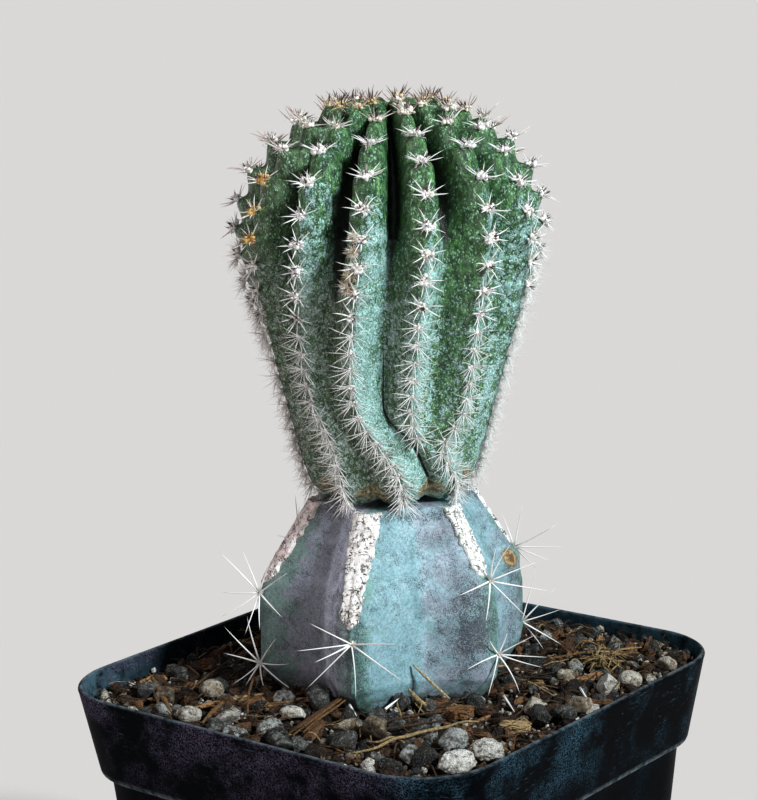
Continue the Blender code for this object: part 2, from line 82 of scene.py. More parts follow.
# Points of the pot: along each side and corner; rings of its body, collar, rim and inner side
SIDE_STEPS = 9
CORNER_STEPS = 14
BODY_RINGS = 26
COLLAR_RINGS = 16
RIM_RINGS = 7
INNER_RINGS = 10

# Soil
GAP = 0.3 * MM
SOIL_LEVEL = -2.0 * MM
SOIL_MOUND = 2.0 * MM
SOIL_MOUND_REACH = 16 * MM
SOIL_MOUND_SPREAD = 12 * MM
SOIL_FALL = 2.2 * MM
SOIL_WALL_GAP = 0.35 * MM
STEM_GAP = 0.3 * MM
# How far the peat lies under the mean level, the height of a ring on its sides, and how far the rings round
# the stem lie under the rim
PEAT_DEPTH = 1.3 * MM
BED_MIDDLE = 30 * MM
STEM_HOLE = (8 * MM, 16 * MM, 34.4 * MM)
BED_COLUMNS = 240
BED_ROWS = 46

# Plant
UPWARD = np.array([0.0, 0.0, 1.0])
FRONT_AZIMUTH = -50.8
LEAN_ANGLE = 90.0
LEAN = math.tan(math.radians(1.15))

# Rootstock: its ribs, as plant angle of the crest and heights of the areoles from the top one down
ROOT_RIBS = (
    (-78, (17.7, 3.2)),
    (-18, (13.1,)),
    (46, (22.0, 7.7)),
    (106, (21.6, 5.6)),
    (166, (18.5, 3.6)),
    (226, (21.0, 6.4)),
)
# The skin's foot and top, and the callus's top, which is just under the CAD's
ROOT_FOOT = -33.8
ROOT_SKIN_TOP = 35.9
CALLUS_TOP = 35.95
# Points of the skin: round the stem, down in the soil and over it; points across and up a strip of callus
ROOT_COLUMNS = 360
ROOT_ROWS = (8, 116)
CALLUS_GRID = (32, 96)
# Radius of the rib crests and of the grooves between them, by height
ROOT_CREST = (
    (-34, 11), (-22, 13), (-12, 16), (-6, 20.5), (-1, 25.2), (3, 28.0), (15, 28.3), (20, 27.4),
    (36, 17),
)
ROOT_GROOVE = ((-34, 11), (-22, 12.4), (-12, 14), (-6, 16), (-1, 18.4), (3, 19.8), (20, 20.2), (36, 13.4))
# Skin round the stem: plant angle, share of cyan (the bloom's tint, and painted light against shaded grey),
# painted lightness
ROOT_TINTS = (
    (-78, 0.3, 0.84), (-62, 0.22, 0.8), (-50, 0.2, 0.77), (-44, 0.15, 0.79), (-41, 0.05, 1.1),
    (-39.5, 0.0, 1.75), (-24, 0.0, 1.95), (-19.5, 0.05, 1.72), (-17.5, 0.85, 0.94), (12, 0.9, 0.96),
    (16, 0.5, 1.12), (38, 0.42, 1.1), (45, 0.55, 1.0), (49, 1.0, 1.0), (74, 1.0, 0.98), (79, 0.7, 0.92),
    (104, 0.5, 0.9), (109, 0.9, 1.0), (134, 0.9, 1.05), (139, 0.35, 0.9), (164, 0.4, 0.85),
    (169, 0.8, 1.0), (194, 0.85, 1.0), (199, 0.3, 0.8), (224, 0.4, 0.85), (229, 0.75, 0.95),
    (254, 0.6, 0.9), (282, 0.3, 0.8),
)
# How far the green beside each rib's crest spreads, in degrees
ROOT_GREEN = (18, 9, 5, 8, 8, 8)
# A healed wound: its plant angle and height, and how far it reaches in degrees and mm
WOUND_PLACE = (96.0, 21.0)
WOUND_REACH = (3.6, 1.9)
# Spines of three areoles in front, as (degrees clockwise from up, length in mm)
FRONT_STAR = ((-53, 9.1), (-92, 10.4), (-111, 7.3), (-133, 12.0), (174, 9.8), (118, 11.3), (80, 9.3))
RIGHT_STAR = ((5, 7.5), (24, 8.3), (68, 9.4), (101, 10.8), (138, 10.0), (-167, 8.0), (-104, 7.2))
LOW_RIGHT_STAR = (
    (58, 7.5), (95, 9.1), (108, 8.4), (156, 8.1), (-158, 8.1), (-105, 7.2), (-30, 3.8), (19, 4.7),
)
# By rib and height of the areole: the plant angle that its star faces, and its spines
ROOT_STARS = {(1, 13.1): (-8, FRONT_STAR), (2, 22.0): (12, RIGHT_STAR), (2, 7.7): (12, LOW_RIGHT_STAR)}
# Width, darkness and darker tips of these spines
ROOT_SPINE_LOOK = (0.36, 0.02, 0.10)
# Callus by rib: half width at its top and foot, height of its foot over the areole, and how pink it is
CALLUS = (
    (3.3, 2.2, 1.4, 1.0), (3.3, 1.8, 2.4, 0.45), (2.5, 1.9, 0.5, 0.0), (2.2, 1.5, 1.0, 0.1),
    (2.3, 1.2, 1.6, 0.3), (2.2, 1.3, 1.6, 0.5),
)

# Scion: the outline of its rib crests up to the shoulder, as (height, radius) in mm, and its rounded crown
SCION_OUTLINE = ((36.3, 13.0), (39, 16.1), (46, 18.4), (62, 22.6), (78, 27.6), (89, 30.1))
SHOULDER_HEIGHT = 89 * MM
SHOULDER_RADIUS = 30.1 * MM
CROWN_HEIGHT = 25.6 * MM
CROWN_POWER = 2.25
CROWN_DIP = 0.9 * MM
# Depth in mm, by distance along the outline, of the grooves and of the deep slots that they turn into
GROOVE_DEPTH = ((0, 2.0), (10, 2.8), (25, 3.7), (40, 4.6), (50, 5.2), (60, 5.6), (101, 1.2))
SLOT_DEPTH = ((0, 2.0), (40, 6.0), (50, 8.2), (60, 9.6), (75, 9.2), (86, 8.2), (94, 6.4), (101, 1.2))
# Half the turn from rib to rib, by height
RIB_HALF_WIDTH = ((36, 22.5), (46, 21), (58, 16), (68, 12.6), (84, 12.0), (96, 11.4), (115, 11.4))
# Ribs: the height over which each one starts, and its course as (height, plant angle)
FADE_LENGTH = 8 * MM
SCION_RIBS = (
    (0, ((36, -81), (54, -83), (75, -67), (91, -61), (112, -58))),
    (0, ((36, -36), (45, -36), (53, -40), (60, -46), (73, -42), (90, -35), (112, -33))),
    (0, ((36, 8.5), (43, 4), (49, -6), (55, -17), (62, -20), (76, -15.5), (90, -10.5), (112, -9))),
    (45, ((36, 45), (41, 38), (44, 32), (47.8, 23), (50.4, 16), (53, 12), (56, 9.5), (70, 10.5), (90, 13),
          (112, 14))),
    (0, ((36, 55), (42, 45), (47, 31), (50, 31), (55, 40.5), (74, 38.5), (90, 38), (112, 38))),
    (0, ((36, 100), (54, 87), (84, 68), (95, 60), (112, 60))),
    (66, ((36, 118), (54, 108), (84, 92), (112, 86))),
    (50, ((36, 128), (54, 124), (84, 118), (112, 113))),
    (0, ((36, 145), (54, 146), (84, 142), (112, 140))),
    (50, ((36, 168), (54, 170), (84, 168), (112, 167))),
    (0, ((36, 190), (54, 196), (84, 194), (112, 194))),
    (50, ((36, 213), (54, 220), (84, 221), (112, 221))),
    (0, ((36, 235), (54, 243), (84, 246), (112, 248))),
    (64, ((36, 257), (54, 261), (84, 272), (112, 275))),
)
# Height of one areole near the top of each rib, and the spacing along a rib as (distance, spacing)
AREOLE_TOPS = (
    106.4, 106.5, 107.8, 104.5, 106.5, 104.7, 106.2, 107.4, 105.2, 107.0, 104.8, 106.8, 105.4, 107.2,
)
AREOLE_SPACING = (
    (0, 2.2), (12, 2.3), (20, 2.7), (28, 3.4), (36, 3.6), (42, 3.9), (47, 4.6), (53, 5.2), (60, 5.2),
    (66, 5.8), (70, 6.3), (76, 6.9), (81, 8.2), (85, 7.6), (88, 5.2), (91, 4.3), (104, 4.0),
)
# Steps of the ribs by distance: how deep they are in mm, and where between two areoles the notch lies
STEP_HEIGHT = (
    (0, 0.05), (20, 0.12), (38, 0.35), (50, 0.8), (60, 1.3), (70, 1.9), (78, 2.4), (85, 2.3), (89, 1.0),
    (94, 0.4), (101, 0.2),
)
STEP_NOTCH = ((40, 0.14), (58, 0.20), (70, 0.32), (82, 0.46), (95, 0.5))
STEP_REACH = 0.62
# How many points the outline has up the side and over the crown, and how many of them rise
SIDE_SAMPLES = 300
CROWN_SAMPLES = 600
RISING_SAMPLES = 850
OUTLINE_STEP = 0.4 * MM
# Areoles: the first over the graft, the bare stretch of even and odd ribs at the crown, the least strength
# of a rib that has them, and a short step ahead that gives its direction
LOWEST_AREOLE = 0.8 * MM
CROWN_BARE = (9.0 * MM, 6.0 * MM)
LEAST_STRENGTH = 0.55
AHEAD = 0.5 * MM
# Points of the skin: from crest to crest, and from graft to crown
RIB_COLUMNS = 20
SKIN_ROWS = 330
# Khaki cork over the graft: plant angles, height, and its spread in degrees and mm
CORK_ANGLES = (-15, 30, 78, 122, 168, 212, 257, 300)
CORK_LEVEL = 38.7
CORK_SPREAD = (12, 1.9)
# Height at which the groove right of each rib turns into a deep slot, painted black as shade
SLOT_FROM = (90, 90, 93, 100, 99, 96, 95, 95, 94, 94, 93, 92, 90, 89)
# How widely the slot's painted black shade spreads over the flanks
SLOT_REACH = (1.10, 1.15, 0.85, 1.15, 1.1, 1.0, 1.0, 1.0, 1.0, 1.0, 1.0, 1.0, 1.1, 1.1)
# Bloom across the groove right of each rib: beside its left crest, on both sides of its middle, beside its
# right crest
BLOOM_BELOW = (
    (0.50, 0.46, 0.54, 0.62), (0.80, 0.52, 0.40, 0.50), (0.98, 0.84, 0.62, 0.66), (0.98, 0.60, 0.34, 0.42),
    (0.90, 0.66, 0.62, 0.74), (0.92, 0.70, 0.60, 0.70), (0.80, 0.60, 0.55, 0.65), (0.80, 0.60, 0.55, 0.65),
    (0.80, 0.60, 0.50, 0.60), (0.75, 0.55, 0.50, 0.55), (0.60, 0.50, 0.45, 0.50), (0.50, 0.42, 0.40, 0.45),
    (0.45, 0.40, 0.36, 0.42), (0.44, 0.40, 0.36, 0.46),
)
BLOOM_ABOVE = (0.04, 0.20, 0.06, 0.06, 0.12, 0.14, 0.15, 0.15, 0.15, 0.15, 0.15, 0.12, 0.08, 0.06)
BLOOM_TOP = (98, 109, 105, 103, 108, 110, 102, 102, 102, 102, 100, 98, 96, 96)
# Painted shade across the same grooves: how grey the skin is made where it is turned from the key light
DULL_BELOW = (
    (0.95, 0.9, 0.9, 0.85), (0.6, 0.85, 0.95, 0.9), (0.0, 0.0, 0.65, 0.6), (0.0, 0.05, 0.25, 0.4),
    (0.0, 0.0, 0.1, 0.1), (0.0, 0.0, 0.1, 0.1), (0.1, 0.1, 0.1, 0.1), (0.1, 0.1, 0.1, 0.1),
    (0.2, 0.2, 0.2, 0.2), (0.2, 0.2, 0.3, 0.3), (0.3, 0.3, 0.4, 0.4), (0.5, 0.5, 0.6, 0.6),
    (0.7, 0.7, 0.8, 0.8), (0.8, 0.9, 0.9, 0.95),
)
DULL_ABOVE = (
    (0.7, 0.5, 0.2, 0.12), (0.05, 0.1, 0.3, 0.35), (0.0, 0.0, 0.45, 0.5), (0.05, 0.1, 0.3, 0.4),
    (0.0, 0.0, 0.1, 0.1), (0.0, 0.0, 0.1, 0.1), (0.1, 0.1, 0.1, 0.1), (0.1, 0.1, 0.1, 0.1),
    (0.2, 0.2, 0.2, 0.2), (0.2, 0.2, 0.3, 0.3), (0.3, 0.3, 0.4, 0.4), (0.5, 0.5, 0.6, 0.6),
    (0.7, 0.7, 0.7, 0.7), (0.7, 0.8, 0.8, 0.75),
)
# The crease in the middle of one groove, where two ribs run out, as (height, angle), and its width; its dark
# line is painted shade
CREASE_GROOVE = 2
CREASE = (
    (36, 35), (38.1, 33), (41, 29), (44, 23), (47.8, 15.5), (50.4, 9.5), (52.2, 4), (53.6, -1.5),
    (56, -5), (62, -5), (70, -3.7), (76, -2.4), (90, 1.25), (112, 2.5),
)
CREASE_WIDTH = ((36, 0.62), (50, 0.52), (60, 0.34), (72, 0.26))
FOLD_WIDTH = 0.5
# Tufts of two withered buds beside a crest: height, reach of their hairs in mm, tint of their middle
BUD_TUFTS = ((91.6, 1.5, 0.68), (89.0, 2.2, 0.62), (84.6, 2.0, 0.62), (82.0, 2.9, 0.78))
BUD_RIB = 2
BUD_SHIFT = 1.5 * MM
BUD_INSET = 0.2 * MM
BUD_HAIRS = 150
BUD_SHARES = (0.28, 0.28, 0.18, 0.10, 0.16)
# Stars of spines: where they start, their angles, how many spines are left at the crown, their dark middle
STAR_START = 42.0
STAR_ANGLES = (-33, 33, -76, 76, -116, 116, 168, 205)
CROWN_STAR = 5
CENTRE_LOOK = (0.42, 0.78, 0.10)
LONGEST_BOWED = 4.5
# How dark the upper star spines are, by rib
STAR_SHADE = {0: 0.16, 6: 0.16, 7: 0.34, 8: 0.36, 9: 0.36, 10: 0.36, 11: 0.40, 12: 0.42, 13: 0.42}
# Fine hairs that blur the plant's outline: how many at an areole and how dark, by rib
HAZE = {
    0: (50, 0.18), 13: (180, 0.25), 12: (180, 0.25), 11: (60, 0.2), 5: (60, 0.0), 6: (150, 0.0),
    7: (150, 0.0),
}
# How dark the bristles are on the shaded ribs, and how far they reach into the stars
BRISTLE_SHADE = {0: 0.06, 1: 0.03, 12: 0.12, 13: 0.12}
BRISTLE_OVERLAP = 12

# Soil pieces in view: x, y, half sizes in mm, look, tone
EXTRA_STONES = (
    (-10.1, -38.5, (2.7, 1.9, 1.5), "pumice", 0.30),
    (1.4, -25.2, (3.4, 2.6, 2.2), "grey", 0.30),
    (8.9, -45.0, (2.9, 2.2, 1.8), "grey", 0.36),
    (18.8, -38.2, (2.6, 2.2, 2.0), "grey", 0.30),
    (20.4, -31.6, (2.7, 2.3, 2.1), "pale", 0.16),
    (12.6, -31.0, (2.2, 1.4, 1.5), "pale", 0.42),
    (16.0, -26.0, (2.0, 1.7, 1.5), "grey", 0.28),
    (33.6, -37.6, (2.3, 2.1, 1.9), "grey", 0.55),
    (36.2, -28.8, (2.9, 2.3, 2.1), "grey", 0.62),
    (29.6, -44.6, (1.8, 1.5, 1.5), "pumice", 0.45),
    (36.8, -2.9, (2.0, 1.8, 1.7), "pale", 0.62),
    (41.5, -7.6, (3.4, 2.0, 1.5), "grey", 0.14),
    (42.2, 3.4, (2.5, 2.0, 1.7), "pale", 0.36),
    (42.4, 14.4, (2.2, 2.0, 1.8), "pumice", 0.42),
    (32.0, 14.6, (2.1, 1.6, 1.5), "pale", 0.45),
    (44.2, 33.6, (1.8, 1.6, 1.4), "pale", 0.55),
    (27.0, 30.0, (2.3, 2.0, 1.7), "grey", 0.34),
    (-36.0, -35.0, (2.4, 2.0, 1.7), "grey", 0.30),
    (-30.0, -36.0, (2.0, 1.8, 1.6), "pale", 0.14),
    (-26.5, -25.0, (2.2, 1.7, 1.4), "grey", 0.22),
)
# Look, tone and lumps of the CAD's stones, and the turn of its chips
STONE_LOOKS = {
    "pebble": ("pale", 0.50, 0.015, None),
    "pumice_left": ("pumice", 0.30, 0.07, None),
    "speckled_stone": ("grey", 0.62, 0.04, None),
    "bean_stone": ("pale", 0.85, 0.02, None),
    "pumice_front": ("pumice", 0.60, 0.15, None),
    "pumice_second": ("pumice", 0.55, 0.14, None),
    "grey_stone": ("grey", 0.30, 0.06, None),
    "pale_stone": ("pale", 0.70, 0.05, None),
    "bark_chip": ("bark", 0.66, 0.28, 25),
    "wood_chip": ("bark", 0.93, 0.30, 30),
}
SLOTS = {"pale": "pale_stone", "grey": "grey_stone", "pumice": "pumice", "bark": "bark"}
# Mineral looks: name, low, middle and high tone, depth of the pits, colour and share of the specks
STONE_TONES = {
    "pale": (
        "pale stone", (0.055, 0.042, 0.028), (0.24, 0.19, 0.13), (0.6, 0.56, 0.49), 0.3,
        (0.05, 0.04, 0.03), 0.5,
    ),
    "grey": (
        "lava grit", (0.007, 0.008, 0.008), (0.05, 0.051, 0.048), (0.42, 0.43, 0.41), 0.8,
        (0.3, 0.31, 0.29), 0.35,
    ),
    "pumice": (
        "pumice", (0.2, 0.17, 0.13), (0.48, 0.45, 0.4), (0.78, 0.77, 0.74), 0.9, (0.12, 0.09, 0.06),
        0.4,
    ),
}
# Cuts of a grain: how many planes, the nearest and furthest, how askew its box is (0 for no box), roughness
ROCK = (9, 0.62, 0.95, 0.0, 0.08)
LUMP = (12, 0.72, 0.98, 0.0, 0.06)
BLOCK = (4, 0.8, 1.1, 0.25, 0.12)
ROUND = (11, 0.66, 0.98, 0.0, 0.03)
# Loose grains: look, whether they keep clear of the stones, then how many, (smallest, largest, power) of the
# half length in mm, shares of it in thickness and width, cut, tones, tilt in degrees and how far they sink
GRAINS = (
    ("bark", True, dict(
        name="soil_bark", count=900, sizes=(1.0, 3.3, 2.2), flat=(0.25, 0.55), wide=(0.35, 0.8),
        cut=BLOCK, tones=(0.02, 0.1, 0.2, 0.3, 0.42, 0.6), tilt=34)),
    ("bark", True, dict(
        name="soil_splinters", count=420, sizes=(1.4, 4.6, 2.2), flat=(0.10, 0.2), wide=(0.10, 0.28),
        cut=BLOCK, tones=(0.08, 0.2, 0.35, 0.5, 0.65, 0.85), tilt=20, sink=0.0)),
    ("grey", True, dict(
        name="soil_lava", count=360, sizes=(0.8, 2.5, 2.0), flat=(0.6, 0.9), wide=(0.7, 1.0),
        cut=ROCK, tones=(0.02, 0.12, 0.22, 0.34, 0.5), tilt=90)),
    ("pale", True, dict(
        name="soil_pebbles", count=150, sizes=(0.6, 1.7, 2.4), flat=(0.6, 0.9), wide=(0.7, 1.0),
        cut=LUMP, tones=(0.05, 0.18, 0.3, 0.5), tilt=60)),
    ("pumice", True, dict(
        name="soil_pumice", count=46, sizes=(0.6, 1.9, 2.4), flat=(0.65, 0.95), wide=(0.7, 1.0),
        cut=ROCK, tones=(0.1, 0.3, 0.5), tilt=90)),
    ("bark", False, dict(
        name="soil_crumbs", count=1400, sizes=(0.35, 0.9, 1.5), flat=(0.5, 0.9), wide=(0.5, 1.0),
        cut=ROCK, tones=(0.02, 0.1, 0.22, 0.36, 0.55), tilt=90, sink=0.1, shapes=8, level=1)),
    ("pumice", False, dict(
        name="soil_grit", count=1000, sizes=(0.30, 0.95, 1.6), flat=(0.6, 0.95), wide=(0.6, 1.0),
        cut=ROCK, tones=(0.02, 0.1, 0.25, 0.5), tilt=90, sink=0.0, shapes=8, level=1)),
)
GRAIN_SEED = 31
EXTRA_SEED = 50
# Sticks, roots and husks: width, tone, path of (x, y, height over the soil) in mm
STRANDS = (
    (1.2, 0.56, ((-40.0, -29.5, 3.2), (-32.0, -35.2, 2.6), (-23.6, -41.0, 1.8))),
    (0.6, 0.5, ((-35.4, -34.0, 2.6), (-29.0, -39.0, 2.2), (-22.8, -43.6, 1.6))),
    (1.0, 0.54, ((-16.4, -33.1, 2.6), (-14.8, -38.0, 2.4), (-12.9, -43.2, 1.8))),
    (0.55, 0.48, ((7.0, -22.8, 3.8), (7.4, -32.0, 3.4), (8.6, -41.4, 2.6))),
    (0.55, 0.4, ((6.3, -23.4, 3.7), (6.8, -33.0, 3.2), (7.4, -41.2, 2.6))),
    (0.5, 0.52, ((7.7, -23.6, 3.5), (8.4, -33.0, 3.3), (9.6, -39.6, 2.8))),
    (0.5, 0.34, ((5.7, -24.6, 3.3), (6.0, -33.0, 3.0), (6.6, -40.0, 2.4))),
    (0.62, 0.86, ((34.4, -17.6, 3.2), (32.4, -19.6, 3.4), (31.2, -23.3, 3.3), (29.4, -28.6, 3.6),
                  (29.2, -32.8, 4.0), (28.8, -36.0, 4.4), (29.2, -39.6, 4.6), (28.8, -42.2, 4.4),
                  (26.0, -45.0, 3.8))),
    (0.42, 0.84, ((29.3, -33.7, 3.0), (26.3, -33.8, 3.5), (25.1, -36.4, 3.1), (22.3, -36.5, 2.7))),
    (0.45, 0.3, ((26.5, -16.8, 3.2), (22.0, -22.4, 3.0), (17.6, -29.0, 2.5))),
    (0.45, 0.22, ((28.0, -20.0, 2.8), (24.6, -26.0, 3.0), (20.6, -30.5, 2.6))),
    (0.5, 0.55, ((24.4, 20.0, 3.0), (30.0, 27.0, 4.0), (37.0, 34.0, 3.0))),
    (0.45, 0.85, ((36.0, 24.0, 2.6), (33.5, 31.0, 3.6), (35.0, 38.0, 2.8))),
    (0.45, 0.4, ((-34.1, -9.8, 3.2), (-30.5, -22.8, 3.0), (-26.9, -33.0, 2.4), (-22.6, -37.7, 2.0))),
    (0.5, 0.36, ((-38.6, -20.5, 3.4), (-33.0, -22.9, 2.8))),
    (0.5, 0.5, ((-20.0, -19.6, 4.2), (-13.2, -29.6, 3.2), (-5.8, -38.1, 2.0))),
    (0.6, 0.97, ((16.0, -13.9, 8.4), (19.6, -13.2, 5.8), (23.2, -12.0, 3.0))),
    (0.95, 0.9, ((15.8, -15.2, 3.8), (18.4, -16.2, 3.2), (20.9, -16.6, 2.6))),
)
# A ball of coir: its middle, its reach and how many strands it has
COIR_PLACE = (32.2, 27.0)
COIR_REACH = 4.2
COIR_STRANDS = 46
COIR_TONES = (0.70, 0.80, 0.90)
LOOSE_FIBRES = 520
# Spines that fell on the soil: start and end as (x, y, height over the soil) in mm
FALLEN_SPINES = (
    ((38.4, 10.3, 2.6), (45.0, 4.6, 1.8)),
    ((30.1, -3.7, 3.0), (35.5, -7.6, 2.2)),
    ((16.6, -23.6, 3.4), (16.5, -18.9, 3.8)),
    ((9.4, -25.6, 3.2), (13.0, -27.8, 2.6)),
    ((-8.0, 31.0, 2.4), (-14.0, 34.0, 2.2)),
    ((-30.0, 12.0, 2.6), (-35.0, 16.0, 2.2)),
)


# Curves, noise and directions

def curve(points, x):
    """Smooth curve through (x, y) points with rising x, level beyond its ends; x may be an array."""
    px = np.array([p[0] for p in points], float)
    py = np.array([p[1] for p in points], float)
    order = np.arange(len(px))
    ahead = np.minimum(order + 1, len(px) - 1)
    behind = np.maximum(order - 1, 0)
    slopes = (py[ahead] - py[behind]) / (px[ahead] - px[behind])
    x = np.clip(np.asarray(x, float), px[0], px[-1])
    i = np.clip(np.searchsorted(px, x, side="right") - 1, 0, len(px) - 2)
    run = px[i + 1] - px[i]
    t = (x - px[i]) / run
    start = (1 + 2 * t) * (1 - t) ** 2 * py[i] + t * (1 - t) ** 2 * run * slopes[i]
    return start + t * t * (3 - 2 * t) * py[i + 1] + t * t * (t - 1) * run * slopes[i + 1]


def straight(points, x):
    """Straight runs through (x, y) points with rising x."""
    return np.interp(x, [p[0] for p in points], [p[1] for p in points])


def smoothstep(low, high, value):
    """Rises smoothly from 0 at low to 1 at high."""
    share = np.clip((np.asarray(value, float) - low) / (high - low), 0, 1)
    return share * share * (3 - 2 * share)


def noise_at(points, size, seed=0.0):
    """Smooth noise, about -1 to 1, at points; size is that of its lumps."""
    flat = np.asarray(points).reshape(-1, 3) / size + seed
    values = np.fromiter((noise.noise(p) for p in flat.tolist()), float, len(flat))
    return values.reshape(np.asarray(points).shape[:-1])


def bell(offset, width):
    """1 at no offset, falling towards 0 beyond the width."""
    return np.exp(-(offset / width) ** 2)


def turn_from(start, angle):
    """Signed turn in degrees from one angle to another, within half a turn."""
    return (angle - start + 180) % 360 - 180


def unit(vectors):
    """Vectors scaled to length 1."""
    return vectors / np.maximum(np.linalg.norm(vectors, axis=-1, keepdims=True), 1e-12)


def plant_direction(angle):
    """Unit vectors in the ground plane for plant angles."""
    turn = np.radians(FRONT_AZIMUTH + np.asarray(angle, float))
    return np.stack([np.cos(turn), np.sin(turn), np.zeros_like(turn)], -1)


def plant_point(radius, angle, height):
    """Points of the leaning plant from radius, plant angle and height over the rim."""
    height = np.asarray(height, float)
    point = plant_direction(angle) * np.asarray(radius, float)[..., None]
    point = point + plant_direction(LEAN_ANGLE) * (LEAN * height)[..., None]
    point[..., 2] += POT_HEIGHT + height
    return point


# Meshes

class Batch:
    """Gathers vertices, faces and per-vertex values for one mesh."""

    def __init__(self):
        self.points = []
        self.faces = []
        self.values = {}
        self.count = 0

    def add(self, points, faces, **values):
        """Adds a shape: its points, its faces as an array or a list of arrays, and values for its points."""
        points = points.reshape(-1, 3)
        for block in faces if isinstance(faces, list) else [faces]:
            self.faces.append(block + self.count)
        self.points.append(points)
        for name, value in values.items():
            self.values.setdefault(name, []).append(np.broadcast_to(value, len(points)))
        self.count += len(points)

    def add_tube(self, rings, **values):
        """Adds a closed tube of rings (rows, columns, 3); its values are 0 at the middles of its ends."""
        self.add(*capped_tube(rings), **{name: np.append(value, (0, 0)) for name, value in values.items()})

    def build(self, name, material, smooth=True):
        """Makes the object."""
        values = {key: np.concatenate(value) for key, value in self.values.items()}
        return mesh_object(name, np.concatenate(self.points), self.faces, material, smooth, values)


def new_object(name, data):
    """A new object in the scene."""
    item = bpy.data.objects.new(name, data)
    bpy.context.scene.collection.objects.link(item)
    return item


def set_values(mesh, values):
    """Writes per-vertex values by name."""
    for name, value in values.items():
        layer = mesh.attributes.new(name, "FLOAT", "POINT")
        layer.data.foreach_set("value", np.asarray(value, np.float32))


def mesh_object(name, points, faces, material, smooth=True, values=None):
    """Makes an object from arrays: points (n, 3), faces as a list of (m, 3) or (m, 4) arrays."""
    mesh = bpy.data.meshes.new(name)
    mesh.vertices.add(len(points))
    mesh.vertices.foreach_set("co", np.asarray(points, np.float32).ravel())
    sizes = np.concatenate([np.full(len(block), block.shape[1]) for block in faces])
    corners = np.concatenate([block.ravel() for block in faces])
    mesh.loops.add(len(corners))
    mesh.loops.foreach_set("vertex_index", corners.astype(np.int32))
    mesh.polygons.add(len(sizes))
    mesh.polygons.foreach_set("loop_start", (np.cumsum(sizes) - sizes).astype(np.int32))
    mesh.polygons.foreach_set("use_smooth", np.full(len(sizes), smooth))
    mesh.update(calc_edges=True)
    mesh.validate()
    set_values(mesh, values or {})
    mesh.materials.append(material)
    return new_object(name, mesh)


def tube_faces(rows, columns):
    """Quads of a tube of point rows, without its ends."""
    row = np.arange(rows - 1)[:, None] * columns
    here = np.arange(columns)[None, :]
    there = (here + 1) % columns
    above = row + columns
    return np.stack([row + here, row + there, above + there, above + here], -1).reshape(-1, 4)


def end_fan(start, columns, centre, upward):
    """Triangles from a ring of points to a centre point."""
    here = start + np.arange(columns)
    there = start + (np.arange(columns) + 1) % columns
    middle = np.full(columns, centre)
    order = (here, there, middle) if upward else (there, here, middle)
    return np.stack(order, -1)


def capped_tube(rings):
    """Points and faces of a tube of rings (rows, columns, 3), bottom first, closed by a fan at each end."""
    rows, columns = rings.shape[:2]
    points = np.concatenate([rings.reshape(-1, 3), rings[:1].mean(axis=1), rings[-1:].mean(axis=1)])
    count = rows * columns
    return points, [
        tube_faces(rows, columns),
        end_fan(0, columns, count, False),
        end_fan(count - columns, columns, count + 1, True),
    ]


def needles(base, tip, width, bow, sides, steps):
    """Tapered, bowed needles from base to tip: points, faces, shares along them, points in each."""
    base, tip, bow = (np.asarray(a, float) for a in (base, tip, bow))
    count = len(base)
    forward = unit(tip - base)
    helper = np.where(np.abs(forward[:, 2:]) < 0.9, [[0, 0, 1.0]], [[1.0, 0, 0]])
    side = unit(np.cross(forward, helper))
    other = np.cross(forward, side)
    share = np.arange(steps) / steps
    turn = 2 * np.pi * np.arange(sides) / sides
    middle = base[:, None] + (tip - base)[:, None] * share[None, :, None]
    middle = middle + bow[:, None] * (4 * share * (1 - share))[None, :, None]
    radius = 0.5 * np.asarray(width, float)[:, None] * (1 - share[None, :]) ** 0.6
    around = side[:, None] * np.cos(turn)[None, :, None] + other[:, None] * np.sin(turn)[None, :, None]
    rings = middle[:, :, None] + around[:, None] * radius[:, :, None, None]
    points = np.concatenate([rings.reshape(count, -1, 3), tip[:, None]], 1)
    each = steps * sides + 1
    walls = tube_faces(steps, sides)
    point_fan = end_fan((steps - 1) * sides, sides, steps * sides, True)
    foot = np.arange(sides)[::-1][None, :]
    offsets = (np.arange(count) * each)[:, None, None]
    faces = [(block[None] + offsets).reshape(-1, block.shape[1]) for block in (walls, point_fan, foot)]
    along = np.broadcast_to(np.append(np.repeat(share, sides), 1.0), (count, each))
    return points.reshape(-1, 3), faces, along.ravel(), each


def ball(level):
    """Points and triangles of a unit icosphere."""
    shape = bmesh.new()
    bmesh.ops.create_icosphere(shape, subdivisions=level, radius=1)
    points = np.array([v.co[:] for v in shape.verts])
    faces = np.array([[v.index for v in f.verts] for f in shape.faces])
    shape.free()
    return points, faces


CURL = ball(1)


# Material nodes

class Value:
    """A number, colour or vector that a material works out. Numbers take plain sums."""

    def __init__(self, nodes, socket):
        self.nodes = nodes
        self.socket = socket

    def __add__(self, other):
        return self.nodes.math("ADD", self, other)

    def __sub__(self, other):
        return self.nodes.math("SUBTRACT", self, other)

    def __mul__(self, other):
        return self.nodes.math("MULTIPLY", self, other)

    def __abs__(self):
        return self.nodes.math("ABSOLUTE", self, 0.0)

    __radd__ = __add__
    __rmul__ = __mul__


